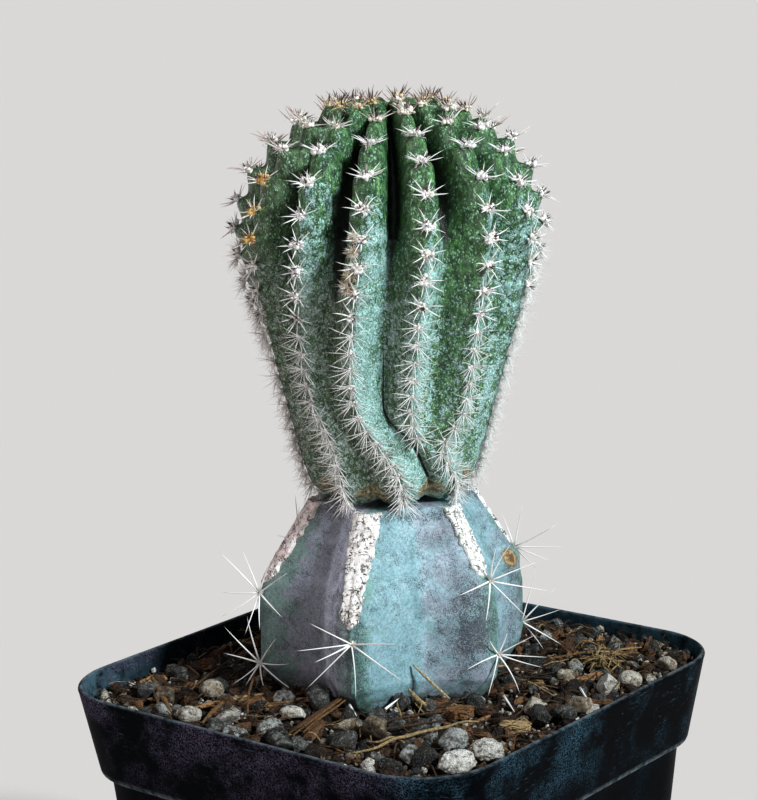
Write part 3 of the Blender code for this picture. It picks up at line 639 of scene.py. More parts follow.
class Nodes:
    """Short calls that build one material's node tree."""

    def __init__(self, name):
        self.material = bpy.data.materials.new(name)
        self.material.use_nodes = True
        self.tree = self.material.node_tree
        self.shader = self.tree.nodes["Principled BSDF"]
        self.place = self.make("TexCoord", "Object", {})

    def put(self, socket, value):
        """Sets an input from a worked-out or a plain value."""
        if isinstance(value, Value):
            self.tree.links.new(value.socket, socket)
        elif isinstance(value, tuple) and socket.type == "RGBA":
            socket.default_value = (*value, 1)
        else:
            socket.default_value = value

    def make(self, kind, output, inputs, **settings):
        """Adds a node with its settings and inputs, and returns one of its outputs."""
        node = self.tree.nodes.new("ShaderNode" + kind)
        for name, value in settings.items():
            setattr(node, name, value)
        for key, value in inputs.items():
            self.put(node.inputs[key], value)
        return Value(self, node.outputs[output])

    def math(self, kind, a, b):
        """One sum of numbers."""
        return self.make("Math", 0, {0: a, 1: b}, operation=kind)

    def vectors(self, kind, a, b):
        """One sum of vectors."""
        return self.make("VectorMath", 0, {0: a, 1: b}, operation=kind)

    def most(self, a, b):
        """The larger of two numbers."""
        return self.math("MAXIMUM", a, b)

    def least(self, a, b):
        """The smaller of two numbers."""
        return self.math("MINIMUM", a, b)

    def value(self, name):
        """A per-vertex value."""
        return self.make("Attribute", "Fac", {}, attribute_name=name)

    def stretch(self, scale):
        """Object coordinates stretched by a scale."""
        return self.make("Mapping", "Vector", {"Vector": self.place, "Scale": scale})

    def along_grain(self, scale):
        """Coordinates that run along each grain of soil."""
        parts = {axis: self.value("grain_" + axis.lower()) * factor for axis, factor in zip("XYZ", scale)}
        return self.make("CombineXYZ", 0, parts)

    def warp(self, size, amount, vector=None):
        """Coordinates shifted by noise of a size, by up to an amount in metres."""
        vector = vector or self.place
        shift = self.make("TexNoise", "Color", {"Vector": vector, "Scale": 1 / size})
        centred = self.vectors("SUBTRACT", shift, (0.5, 0.5, 0.5))
        return self.vectors("ADD", vector, self.vectors("MULTIPLY", centred, (2 * amount,) * 3))

    def noise(self, size, detail=3.0, rough=0.5, vector=None):
        """Noise with lumps of a size in metres."""
        inputs = {"Vector": vector or self.place, "Scale": 1 / size, "Detail": detail, "Roughness": rough}
        return self.make("TexNoise", "Fac", inputs)

    def cells(self, size, vector, feature="F1", output="Distance"):
        """Cell pattern with cells of a size in metres."""
        return self.make("TexVoronoi", output, {"Vector": vector, "Scale": 1 / size}, feature=feature)

    def remap(self, value, low, high, to_low=0.0, to_high=1.0):
        """Maps low..high smoothly to to_low..to_high."""
        inputs = {"Value": value, "From Min": low, "From Max": high, "To Min": to_low, "To Max": to_high}
        return self.make("MapRange", "Result", inputs, interpolation_type="SMOOTHSTEP")

    def ramp(self, value, *stops):
        """Colours at (place, colour) stops."""
        node = self.tree.nodes.new("ShaderNodeValToRGB")
        elements = node.color_ramp.elements
        while len(elements) < len(stops):
            elements.new(0.5)
        for element, (place, colour) in zip(elements, stops):
            element.position = place
            element.color = (*colour, 1)
        self.put(node.inputs["Fac"], value)
        return Value(self, node.outputs["Color"])

    def mix(self, share, a, b, kind="MIX"):
        """Mixes two colours."""
        node = self.tree.nodes.new("ShaderNodeMix")
        node.data_type = "RGBA"
        node.blend_type = kind
        sockets = [socket for socket in node.inputs if socket.enabled]
        for socket, value in zip(sockets, (share, a, b)):
            self.put(socket, value)
        return Value(self, next(socket for socket in node.outputs if socket.enabled))

    def tint(self, a, b):
        """One colour times another."""
        return self.mix(1.0, a, b, "MULTIPLY")

    def up(self):
        """How much the surface faces up, from 0 to 1."""
        normal = self.make("NewGeometry", "Normal", {})
        return self.remap(self.make("SeparateXYZ", "Z", {0: normal}), -0.2, 1.0)

    def finish(self, colour, roughness, bump=None, strength=0.5, depth=0.0002, **sockets):
        """Sets the shader and returns the material."""
        sockets.update(Base_Color=colour, Roughness=roughness)
        if bump is not None:
            inputs = {"Strength": strength, "Distance": depth, "Height": bump}
            sockets["Normal"] = self.make("Bump", "Normal", inputs)
        for name, value in sockets.items():
            self.put(self.shader.inputs[name.replace("_", " ")], value)
        return self.material


def scion_material():
    """Dark wet green with pale flecks and rings, under a mint bloom that breaks into flakes; greyer where
    shade is painted, black where shade is painted in the slots and along the crease.
    """
    n = Nodes("scion skin")
    # Painted shade: greyer on the ribs and flanks turned from the key light
    dull = n.value("dull")
    bloom = n.value("bloom")
    upright = n.stretch((1, 1, 0.55))
    loose = n.warp(0.6 * MM, 0.35 * MM, n.stretch((1, 1, 0.75)))
    green = n.ramp(n.noise(0.9 * MM, 5, 0.7, upright), (0.36, (0.003, 0.016, 0.005)),
                   (0.5, (0.022, 0.095, 0.028)), (0.64, (0.12, 0.32, 0.085)))
    # Shaded olive copy of the green, painted shade
    olive = n.ramp(n.noise(0.8 * MM, 5, 0.7, upright), (0.36, (0.006, 0.01, 0.005)),
                   (0.5, (0.042, 0.068, 0.03)), (0.64, (0.2, 0.25, 0.14)))
    colour = n.mix(dull * 0.9, green, olive)
    spots = n.cells(0.42 * MM, n.warp(0.4 * MM, 0.12 * MM, upright))
    ring = n.remap(spots, 0.4, 0.3) * n.remap(spots, 0.1, 0.22, 0.3, 1.0)
    ring = ring * n.remap(n.noise(1.3 * MM, 3, 0.6), 0.44, 0.54)
    colour = n.mix(ring * 0.85, colour, (0.34, 0.62, 0.42))
    flake = n.cells(0.8 * MM, loose, output="Color") - 0.5
    flake = flake * n.remap(bloom, 0.05, 0.55, 0.25, 0.9)
    ragged = (n.noise(0.5 * MM, 5, 0.8) - 0.5) * 2.1
    share = bloom + (flake + ragged)
    coated = n.remap(share, 0.4, 0.56)
    edges = n.cells(0.8 * MM, loose, "DISTANCE_TO_EDGE")
    cracked = n.remap(n.noise(2.4 * MM, 3), 0.4, 0.56) * n.remap(bloom, 0.7, 1.1, 1.0, 0.3)
    coated = coated - n.remap(edges, 0.2, 0.06) * cracked
    coated = n.most(coated, 0.0)
    mint = n.ramp(n.noise(0.45 * MM, 4, 0.75), (0.34, (0.12, 0.25, 0.21)), (0.5, (0.295, 0.535, 0.505)),
                  (0.66, (0.56, 0.8, 0.78)))
    # Shaded grey copy of the mint coat, painted shade
    dusty = n.ramp(n.noise(0.45 * MM, 4, 0.75), (0.36, (0.08, 0.095, 0.075)), (0.5, (0.26, 0.29, 0.24)),
                   (0.64, (0.56, 0.6, 0.53)))
    colour = n.mix(coated, colour, n.mix(dull, mint, dusty))
    grain = n.remap(n.noise(0.25 * MM, 3, 0.75), 0.36, 0.64, 0.5, 1.5)
    colour = n.tint(colour, grain)
    uneven = (n.noise(0.8 * MM, 4, 0.7) - 0.5) * 0.9
    # Painted shade: black in the deep slots and along the crease, darker deep in the upper grooves
    black = n.remap(n.value("black") + uneven * 0.6, 0.15, 0.85)
    line = n.remap(n.value("line") + uneven, 0.38, 0.58)
    colour = n.mix(n.most(black, line) * 0.97, colour, (0.001, 0.005, 0.002))
    khaki = n.ramp(n.noise(0.8 * MM, 5, 0.7), (0.36, (0.035, 0.022, 0.01)), (0.5, (0.21, 0.17, 0.08)),
                   (0.64, (0.52, 0.48, 0.34)))
    corked = n.value("cork") + n.noise(0.8 * MM, 4, 0.7) * 1.3
    colour = n.mix(n.remap(corked, 0.92, 1.14), colour, khaki)
    roughness = n.remap(coated, 0.0, 1.0, 0.3, 0.62)
    bump = n.noise(0.35 * MM, 4, 0.7) + coated * 0.6
    return n.finish(colour, roughness, bump, 0.9, 0.00028, Specular_IOR_Level=0.45)


def rootstock_material():
    """Blue-green waxy skin peppered with dark specks; its cyan, grey and lightness round the stem are partly
    painted light and shade.
    """
    n = Nodes("rootstock skin")
    cloud = n.noise(5 * MM, 6, 0.62)
    # Lit cyan and shaded violet-grey copies of the skin: partly the bloom's own tint, partly painted light
    # and shade
    cyan = n.ramp(cloud, (0.3, (0.17, 0.335, 0.37)), (0.5, (0.235, 0.415, 0.475)),
                  (0.7, (0.32, 0.5, 0.56)))
    grey = n.ramp(cloud, (0.3, (0.19, 0.205, 0.245)), (0.5, (0.265, 0.28, 0.345)),
                  (0.7, (0.36, 0.375, 0.46)))
    wander = (n.noise(4 * MM, 3) - 0.5) * 0.5
    colour = n.mix(n.remap(n.value("cyan") + wander, 0.25, 0.75), grey, cyan)
    # Painted light and shade: the skin's lightness by side round the stem
    light = n.value("light") * (1.0 + wander * 0.5)
    colour = n.tint(colour, light)
    green = n.remap(n.noise(4 * MM, 5, 0.65) + n.value("edge") * 0.36, 0.6, 0.82, 0.0, 0.75)
    colour = n.mix(green, colour, n.mix(n.value("cyan"), (0.11, 0.195, 0.155), (0.11, 0.27, 0.22)))
    thick = n.noise(3 * MM, 5, 0.65) + n.value("stain") * 0.32
    thick = n.least(thick - n.value("cyan") * 0.05, 0.74)
    pepper = n.noise(0.22 * MM, 3, 0.8) + thick * 0.55
    pepper = n.remap(pepper, 0.815, 0.875) * 0.85
    colour = n.mix(pepper, colour, (0.02, 0.028, 0.03))
    mottle = n.remap(n.noise(0.55 * MM, 5, 0.75), 0.32, 0.68, 0.7, 1.3)
    colour = n.tint(colour, mottle)
    foot = n.value("foot") * n.remap(n.noise(1.4 * MM, 4, 0.65), 0.35, 0.6)
    colour = n.mix(foot, colour, (0.05, 0.06, 0.045))
    wound = n.value("wound") + (n.noise(0.7 * MM, 4, 0.7) - 0.5) * 0.9
    colour = n.mix(n.remap(wound, 0.3, 0.42), colour, (0.12, 0.09, 0.045))
    ring = n.ramp(n.noise(0.5 * MM, 4, 0.7), (0.36, (0.12, 0.065, 0.02)), (0.5, (0.3, 0.19, 0.075)),
                  (0.64, (0.52, 0.4, 0.22)))
    colour = n.mix(n.remap(wound, 0.46, 0.56), colour, ring)
    colour = n.mix(n.remap(wound, 0.86, 1.0), colour, (0.11, 0.055, 0.02))
    bump = n.noise(0.5 * MM, 4, 0.7) + pepper * -0.6
    return n.finish(colour, 0.62, bump, 0.5, 0.0002)


def callus_material():
    """Cream-white cork, pinkish in places, with long thin cracks and grey-green stains."""
    n = Nodes("callus cork")
    base = n.ramp(n.noise(0.9 * MM, 5, 0.7), (0.3, (0.56, 0.54, 0.51)), (0.46, (0.86, 0.86, 0.84)),
                  (0.64, (0.98, 0.99, 0.98)))
    pink = n.value("pink") * n.remap(n.noise(3 * MM, 2), 0.4, 0.56, 0.6, 1.0)
    colour = n.mix(pink, base, n.tint(base, (1.0, 0.82, 0.8)))
    stain = n.remap(n.noise(1.6 * MM, 5, 0.7), 0.54, 0.64) * 0.65
    colour = n.mix(stain, colour, (0.26, 0.26, 0.2))
    long_lines = n.noise(1.5 * MM, 3, 0.55, n.stretch((1.3, 1.3, 0.28)))
    cross_lines = n.noise(1.5 * MM, 2, 0.55, n.stretch((0.5, 0.5, 1.5)))
    crack = n.remap(abs(long_lines - 0.5), 0.034, 0.01)
    crack = crack * n.remap(n.noise(2.6 * MM, 3, 0.6), 0.44, 0.54, 0.15, 1.0)
    across = n.remap(abs(cross_lines - 0.52), 0.026, 0.008)
    across = across * n.remap(n.noise(2.4 * MM, 2), 0.5, 0.56)
    crack = n.most(crack, n.most(across, n.value("crack") * 0.75))
    fine = n.remap(n.noise(0.3 * MM, 3, 0.75), 0.62, 0.7) * 0.3
    crack = n.most(crack, fine)
    colour = n.mix(crack, colour, (0.05, 0.04, 0.032))
    bump = n.noise(0.4 * MM, 4, 0.7) - crack * 0.8
    return n.finish(colour, 0.9, bump, 0.8, 0.00025)


def wool_material():
    """Wool of the areoles: white, cream or ochre by its tint, with pinkish shade and rusty crumbs."""
    n = Nodes("areole wool")
    tint = n.value("tint")
    colour = n.ramp(tint, (0.0, (0.99, 0.98, 0.98)), (0.35, (0.88, 0.8, 0.6)), (0.6, (0.8, 0.56, 0.2)),
                    (0.8, (0.48, 0.21, 0.04)), (1.0, (0.16, 0.055, 0.02)))
    shade = n.remap(n.noise(0.45 * MM, 4, 0.7), 0.4, 0.56)
    colour = n.tint(colour, n.mix(shade, (0.82, 0.77, 0.78), (1, 1, 1)))
    crumb = n.remap(n.noise(0.5 * MM, 3, 0.7, n.stretch((1.1, 1.1, 0.9))), 0.65, 0.7, 0.0, 0.75)
    colour = n.mix(crumb, colour, n.tint(colour, (0.45, 0.2, 0.18)))
    return n.finish(colour, 0.95, n.noise(0.3 * MM, 3), 0.8, 0.0002)


def spine_material():
    """Spines: white to dark brown by the dark value, darker at their tips."""
    n = Nodes("spines")
    dark = n.value("dark") + n.value("along") * n.value("tipped")
    colour = n.ramp(dark, (0.0, (1.0, 1.0, 0.99)), (0.25, (0.8, 0.7, 0.66)), (0.5, (0.36, 0.2, 0.16)),
                    (0.75, (0.085, 0.035, 0.035)), (1.0, (0.02, 0.01, 0.014)))
    return n.finish(colour, 0.45)


def soil_material():
    """Dark crumbly peat between the grains."""
    n = Nodes("peat")
    colour = n.ramp(n.noise(1.0 * MM, 5, 0.7), (0.3, (0.003, 0.0025, 0.002)),
                    (0.5, (0.014, 0.009, 0.006)), (0.72, (0.065, 0.04, 0.026)))
    return n.finish(colour, 0.95, n.noise(0.7 * MM, 4, 0.65), 0.9, 0.0005, Specular_IOR_Level=0.1)


def bark_material():
    """Bark chips and wood splinters, with grain along each piece."""
    n = Nodes("bark")
    grain = n.noise(1.0, 4, 0.65, n.along_grain((0.5, 3.8, 3.8)))
    base = n.ramp(n.value("tone"), (0.0, (0.006, 0.005, 0.004)), (0.3, (0.02, 0.012, 0.008)),
                  (0.55, (0.055, 0.028, 0.014)), (0.8, (0.15, 0.078, 0.033)), (1.0, (0.25, 0.19, 0.105)))
    dark = n.tint(base, (0.2, 0.18, 0.17))
    light = n.tint(base, (2.2, 2.1, 2.0))
    colour = n.mix(n.remap(grain, 0.44, 0.62), light, dark)
    mould = n.remap(n.noise(0.9 * MM, 4, 0.7), 0.56, 0.72) * (n.up() * 0.4)
    colour = n.mix(mould, colour, (0.22, 0.21, 0.17))
    bump = grain + n.noise(0.4 * MM, 3)
    return n.finish(colour, 0.8, bump, 0.9, 0.0003, Specular_IOR_Level=0.15)


def stone_material(name, low, mid, high, pits, speck, specks):
    """Mineral grit: three tones by the grain's tone, speckled and pitted, lighter where it faces up and
    stained below.
    """
    n = Nodes(name)
    drift = (n.noise(1.1 * MM, 5, 0.72) - 0.5) * 1.7
    # Lighter where the grain faces up
    tone = n.value("tone") + drift + n.up() * 0.16
    base = n.ramp(tone, (0.12, low), (0.5, mid), (0.95, high))
    fleck = n.remap(n.noise(0.32 * MM, 3, 0.7), 0.55, 0.62) * specks
    colour = n.mix(fleck, base, speck)
    hole = n.remap(n.cells(0.55 * MM, n.warp(0.4 * MM, 0.2 * MM)), 0.26, 0.12) * pits
    hole = hole * n.remap(n.noise(1.6 * MM, 2), 0.42, 0.56)
    soiled = n.remap(n.noise(1.0 * MM, 5, 0.7), 0.51, 0.62) * 0.8
    colour = n.mix(n.most(soiled, hole), colour, (0.028, 0.018, 0.011))
    colour = n.tint(colour, n.remap(n.noise(0.22 * MM, 3, 0.75), 0.34, 0.66, 0.55, 1.45))
    bump = n.noise(0.45 * MM, 5, 0.7) - hole * 0.8
    return n.finish(colour, 0.85, bump, 1.0, 0.00045, Specular_IOR_Level=0.2)


def fibre_material():
    """Coir strands and thin roots: straw to red-brown."""
    n = Nodes("fibre")
    colour = n.ramp(n.value("tone"), (0.0, (0.02, 0.012, 0.008)), (0.4, (0.1, 0.05, 0.022)),
                    (0.65, (0.25, 0.13, 0.048)), (0.85, (0.36, 0.25, 0.11)), (1.0, (0.52, 0.42, 0.24)))
    streaks = n.remap(n.noise(0.5 * MM, 4, 0.75), 0.36, 0.64, 0.4, 1.3)
    return n.finish(n.tint(colour, streaks), 0.75, streaks, 0.8, 0.0002, Specular_IOR_Level=0.25)


def pot_material():
    """Black injection-moulded plastic with scuffs and fine scratches, dust with painted sheen (blue-teal,
    violet on the front-left), a painted highlight on the lip and painted light on the inner wall.
    """
    n = Nodes("black plastic")
    cloud = n.noise(9 * MM, 5, 0.62)
    grain = n.remap(n.noise(0.34 * MM, 3, 0.8), 0.46, 0.6)
    # Dust with painted sheen, mostly on the collar: blue-teal, and violet on the front-left side
    high = n.remap(n.value("rise"), 0.76, 1.0, 0.1, 1.0)
    dust = n.remap(cloud, 0.4, 0.74) * grain * high
    bluish = dust * n.remap(n.value("lilac"), 0.0, 1.0, 1.0, 0.25)
    colour = n.mix(bluish, (0.0008, 0.001, 0.0016), (0.036, 0.098, 0.142))
    violet = n.remap(n.noise(9 * MM, 4, 0.6), 0.42, 0.66) * (grain * high)
    violet = violet * n.remap(n.value("lilac"), 0.0, 1.0, 0.06, 0.85)
    colour = n.mix(violet, colour, (0.1, 0.075, 0.128))
    scuff = n.remap(n.noise(0.9 * MM, 4, 0.75, n.stretch((0.3, 0.3, 2.2))), 0.58, 0.7)
    scuff = scuff * n.remap(n.noise(10 * MM, 2), 0.48, 0.6)
    colour = n.mix(scuff * high * 0.6, colour, (0.06, 0.115, 0.145))
    # Wear with a painted highlight along the lip and at the collar's step
    worn = n.value("edge") * n.remap(n.noise(2.5 * MM, 5, 0.7), 0.38, 0.6, 0.15, 0.85)
    colour = n.mix(worn, colour, (0.14, 0.17, 0.19))
    # Painted light on the inner wall
    inner = n.value("inside") * n.remap(n.noise(3.5 * MM, 5, 0.7), 0.34, 0.62, 0.1, 0.9)
    colour = n.mix(inner, colour, (0.07, 0.135, 0.175))
    roughness = n.remap(cloud + dust * 0.5, 0.35, 1.0, 0.48, 0.7)
    bump = n.noise(0.3 * MM, 2) + n.noise(3 * MM, 3) * 1.2
    return n.finish(colour, roughness, bump, 0.3, 0.00012, Specular_IOR_Level=0.012,
                    Specular_Tint=(0.45, 0.85, 1.0))


def floor_material():
    """Plain pale paper."""
    return Nodes("pale floor").finish(FLOOR_COLOUR, 0.95, Specular_IOR_Level=0.0)


# Scion: its surface

def fine_outline():
    """Distance, radius and height along the scion's rib crests, from the graft to the crown's middle."""
    base = SCION_OUTLINE[0][0] * MM
    low = np.linspace(base, SHOULDER_HEIGHT, SIDE_SAMPLES, endpoint=False)
    turn = np.radians(np.linspace(0, 89.99, CROWN_SAMPLES))
    radius = np.concatenate([curve(SCION_OUTLINE, low / MM) * MM,
                             SHOULDER_RADIUS * np.cos(turn) ** (2 / CROWN_POWER)])
    height = np.concatenate([low, SHOULDER_HEIGHT + CROWN_HEIGHT * np.sin(turn) ** (2 / CROWN_POWER)])
    height = height - CROWN_DIP * bell(radius, 4 * MM)
    steps = np.hypot(np.diff(radius), np.diff(height))
    distance = np.concatenate([[0], np.cumsum(steps)])
    return distance, radius, height


OUTLINE_DISTANCE, OUTLINE_RADIUS, OUTLINE_HEIGHT = fine_outline()
OUTLINE_LENGTH = OUTLINE_DISTANCE[-1]


def outline_at(distance):
    """Radius, height and outward normal (radial, upward) at distances along the outline."""
    ahead = np.clip(distance + OUTLINE_STEP, 0, OUTLINE_LENGTH)
    behind = np.clip(distance - OUTLINE_STEP, 0, OUTLINE_LENGTH)
    radius, height = outline_point(distance)
    run, rise = np.subtract(outline_point(ahead), outline_point(behind))
    size = np.hypot(rise, run)
    return radius, height, rise / size, -run / size


def outline_point(distance):
    """Radius and height at distances along the outline."""
    return (np.interp(distance, OUTLINE_DISTANCE, OUTLINE_RADIUS),
            np.interp(distance, OUTLINE_DISTANCE, OUTLINE_HEIGHT))


def crest_distance(height):
    """Distance along the outline where it reaches a height, on its rising part."""
    return np.interp(height, OUTLINE_HEIGHT[:RISING_SAMPLES], OUTLINE_DISTANCE[:RISING_SAMPLES])


def rib_angle(rib, height):
    """Plant angle of a rib's crest at heights."""
    return curve(SCION_RIBS[rib][1], height / MM)


def rib_strength(rib, height):
    """1 where a rib stands out, 0 below the height where it has faded out."""
    fade = SCION_RIBS[rib][0] * MM
    return smoothstep(fade, fade + FADE_LENGTH, height)


def rib_profile(t, upper):
    """Share of the groove's depth from crest (0) to groove (1): roof-shaped ribs below, columns above."""
    low = t ** 1.35
    high = 0.30 * t ** 1.3 + 0.70 * smoothstep(0.46, 0.86, t)
    return low + (high - low) * upper


def groove_share(angle, height, upper):
    """How deep the surface lies between crest (0) and groove (1); upper is 1 where the ribs are columns."""
    half_width = curve(RIB_HALF_WIDTH, height / MM)
    deepest = np.ones_like(angle)
    for rib in range(len(SCION_RIBS)):
        apart = np.abs(turn_from(rib_angle(rib, height), angle))
        shape = rib_profile(apart / half_width, upper)
        deepest = np.minimum(deepest, shape + 1 - rib_strength(rib, height))
    return deepest


def across_groove(table, groove, fraction):
    """Values across one groove: its own four, halfway to its neighbours' on the crests."""
    own = table[groove]
    left = (table[groove - 1][3] + own[0]) / 2
    right = (own[3] + table[(groove + 1) % len(table)][0]) / 2
    return np.interp(fraction, (0, 0.10, 0.44, 0.56, 0.90, 1), (left, *own, right))


def areole_distances(rib):
    """Distances along the outline of one rib's areoles, graft to crown."""
    top = crest_distance(AREOLE_TOPS[rib] * MM)
    places = []
    distance = top
    while distance > LOWEST_AREOLE:
        places.append(distance)
        distance -= curve(AREOLE_SPACING, distance / MM) * MM
    last = OUTLINE_LENGTH - CROWN_BARE[rib % 2]
    distance = top + curve(AREOLE_SPACING, top / MM) * MM
    while distance <= last:
        places.append(distance)
        distance += curve(AREOLE_SPACING, distance / MM) * MM
    return np.sort(np.array(places))


AREOLES = [areole_distances(rib) for rib in range(len(SCION_RIBS))]


def step_share(rib, distance):
    """Steps of a rib: 0 at the outer corner on each areole, 1 in the notch over it."""
    places = AREOLES[rib]
    above = np.clip(np.searchsorted(places, distance), 1, len(places) - 1)
    share = np.clip((distance - places[above - 1]) / (places[above] - places[above - 1]), 0, 1)
    notch = curve(STEP_NOTCH, distance / MM)
    return np.where(share < notch, smoothstep(-0.10, 1.0, share / notch), 1 - smoothstep(notch, 0.94, share))


def step_inset(rib, distance):
    """Inset of a rib's crest at its steps."""
    return step_share(rib, distance) * curve(STEP_HEIGHT, distance / MM) * MM


def scion_point(distance, angle, inset):
    """Points of the skin from distance, plant angle and inset along the outline's normal."""
    radius, height, outward, upward = outline_at(distance)
    return plant_point(radius - inset * outward, angle, height - inset * upward)


def rib_grids(rib, distances):
    """Grids on the skin from one crest to the next: angle, inset, bloom, painted shade, reach of the slot's
    painted shade, upper, the crease's painted dark line, fold.
    """
    radius, height, _, _ = outline_at(distances)
    level = height[:, None] / MM
    fraction = np.arange(RIB_COLUMNS) / RIB_COLUMNS
    after = (rib + 1) % len(SCION_RIBS)
    crest = rib_angle(rib, height)
    following = rib_angle(after, height) + (360 if after == 0 else 0)
    middle = curve(CREASE, height / MM) if rib == CREASE_GROOVE else (crest + following) / 2
    left = crest[:, None] + (middle - crest)[:, None] * 2 * fraction
    right = middle[:, None] + (following - middle)[:, None] * (2 * fraction - 1)
    angle = np.where(fraction < 0.5, left, right)
    own, other = (step_inset(side, distances) * rib_strength(side, height) for side in (rib, after))
    near = 2 * np.minimum(fraction, 1 - fraction)
    inset = np.where(fraction < 0.5, own[:, None], other[:, None]) * bell(near, STEP_REACH)
    # The slot's black is painted shade; this is how far it reaches
    slot = SLOT_REACH[rib] * smoothstep(SLOT_FROM[rib] - 26, SLOT_FROM[rib] + 10, level)
    upper = smoothstep(SLOT_FROM[rib] - 18, SLOT_FROM[rib] + 4, level)
    away = np.radians(np.abs(angle - middle[:, None])) * radius[:, None] / MM
    # The crease's dark line is painted shade; the fold is its shape
    presence = smoothstep(36.8, 38.5, level) * (1 - smoothstep(63, 73, level)) * (rib == CREASE_GROOVE)
    line = presence - away / curve(CREASE_WIDTH, level)
    fold = presence * bell(away, FOLD_WIDTH) * (0.35 + 1.1 * (1 - smoothstep(53, 60, level)))
    grids = (angle, inset, *skin_tints(rib, fraction, level), slot, upper, line, fold)
    return [np.broadcast_to(grid, angle.shape) for grid in grids]


def skin_tints(rib, fraction, level):
    """Bloom and painted shade of the skin across one groove; fraction runs from its left crest to its right.
    """
    bare_from = BLOOM_TOP[rib] - (14 if rib < 4 else 6) * smoothstep(0.44, 0.60, fraction)
    below = across_groove(BLOOM_BELOW, rib, fraction)
    bloom = below + (BLOOM_ABOVE[rib] - below) * smoothstep(0, 1, (level - bare_from) / 20 + 1)
    below = across_groove(DULL_BELOW, rib, fraction)
    dull = below + (across_groove(DULL_ABOVE, rib, fraction) - below) * smoothstep(76, 90, level)
    return bloom, np.clip(dull, 0, 1)


def make_scion_skin(material):
    """The scion's skin: roof-shaped, stepped ribs, with deep slots and a crease between them, painted black
    as shade.
    """
    distances = np.linspace(0, OUTLINE_LENGTH - 0.15 * MM, SKIN_ROWS)
    ribs = [rib_grids(rib, distances) for rib in range(len(SCION_RIBS))]
    grids = (np.concatenate(parts, axis=1) for parts in zip(*ribs))
    angle, inset, bloom, dull, slot, upper, line, fold = grids
    distance = np.broadcast_to(distances[:, None], angle.shape)
    height = np.broadcast_to(outline_at(distances)[1][:, None], angle.shape)
    groove = groove_share(angle, height, upper)
    shallow = curve(GROOVE_DEPTH, distance / MM)
    deep = curve(SLOT_DEPTH, distance / MM)
    depth = inset + (shallow + (deep - shallow) * upper) * groove * MM + fold * MM
    plain = scion_point(distance, angle, depth)
    wobble = 0.28 * MM * noise_at(plain, 7 * MM) + 0.07 * MM * noise_at(plain, 1.8 * MM, 5.0)
    # Painted shade: black in the slots, and darker deep in the upper grooves
    black = smoothstep(1.0 - 0.70 * slot, 1.30 - 0.38 * slot, groove)
    black = np.maximum(black, 0.36 * upper * smoothstep(0.2, 0.8, groove))
    batch = Batch()
    batch.add_tube(scion_point(distance, angle, depth - wobble), black=black, line=line, dull=dull,
                   bloom=bloom + 0.16 * noise_at(plain, 6 * MM, 13.0), cork=cork_mask(angle, height / MM))
    return batch.build("scion_skin", material)


def cork_mask(angle, level):
    """Khaki cork in the grooves just over the graft."""
    spots = [bell(turn_from(middle, angle), CORK_SPREAD[0]) for middle in CORK_ANGLES]
    return np.max(spots, axis=0) * bell(level - CORK_LEVEL, CORK_SPREAD[1])


# Scion: areoles

def areole_place(point, normal, up, **values):
    """A place for wool and spines: its point and its three directions."""
    normal = unit(normal)
    up = unit(up - normal * normal.dot(up))
    return {"point": point, "normal": normal, "up": up, "side": np.cross(up, normal), **values}


def areole_places():
    """Every areole as its point and directions, rib, distance and height."""
    places = []
    for rib, distances in enumerate(AREOLES):
        for distance in distances:
            if rib_strength(rib, float(outline_at(distance)[1])) >= LEAST_STRENGTH:
                inset = float(step_inset(rib, np.array([distance]))[0])
                tilt = 0.45 * float(curve(STEP_HEIGHT, distance / MM))
                places.append(crest_place(rib, distance, inset, tilt))
    return places


def crown_share(place):
    """0 on the ribs, 1 at the crown."""
    return float(smoothstep(78, 92, place["distance"]))


def is_ochre(place):
    """The few old, orange areoles on the left shoulder."""
    return place["rib"] == 0 and 89 < place["height"] < 104


def wool_tint(place, rng):
    """Tint of an areole's wool: white on the ribs, cream to yellow at the crown."""
    if is_ochre(place):
        return 0.62 + rng.uniform(-0.08, 0.1)
    return 0.05 + rng.uniform(-0.04, 0.04) + crown_share(place) * rng.uniform(0.12, 0.50)


def make_wool(places, material):
    """Crumbly wool on each areole, and the tufts of two withered buds."""
    rng = np.random.default_rng(5)
    batch = Batch()
    for place in places:
        upper = float(smoothstep(30, 56, place["distance"]))
        size = (0.95 + 0.85 * upper + 0.1 * crown_share(place)) * MM * rng.uniform(0.9, 1.15)
        curls = int(9 + 21 * upper) if crown_share(place) < 0.9 else 22
        add_tuft(batch, place, size, wool_tint(place, rng), rng, curls, int(8 + 12 * upper))
    for height, reach, tint in BUD_TUFTS:
        place = crest_place(BUD_RIB, crest_distance(height * MM), BUD_INSET)
        add_bud_tuft(batch, place, reach * MM, tint, rng)
    return batch.build("scion_wool", material)


def add_bud_tuft(batch, place, reach, tint, rng):
    """One tuft of a withered bud, with hairs of mixed tints."""
    place["point"] = place["point"] - place["side"] * BUD_SHIFT
    add_tuft(batch, place, 1.0 * MM, tint, rng, 20, 10)
    axes = np.stack([place["side"], place["up"], place["normal"]])
    column = (BUD_HAIRS, 1)
    directions = unit(rng.normal(size=(BUD_HAIRS, 3)) + [0, 0, 1.1]) @ axes
    base = place["point"] + directions * rng.uniform(0.1, 0.5, column) * MM
    outward = unit(directions + 0.35 * rng.normal(size=directions.shape))
    tip = base + outward * rng.uniform(0.4, 1.0, column) * reach
    width = rng.uniform(0.10, 0.15, BUD_HAIRS) * MM
    bow = rng.normal(size=base.shape) * 0.2 * MM
    points, faces, _, each = needles(base, tip, width, bow, 3, 2)
    tints = rng.choice([0.02, 0.12, 0.25, 0.45, tint], BUD_HAIRS, p=BUD_SHARES)
    batch.add(points, faces, tint=np.repeat(tints, each))


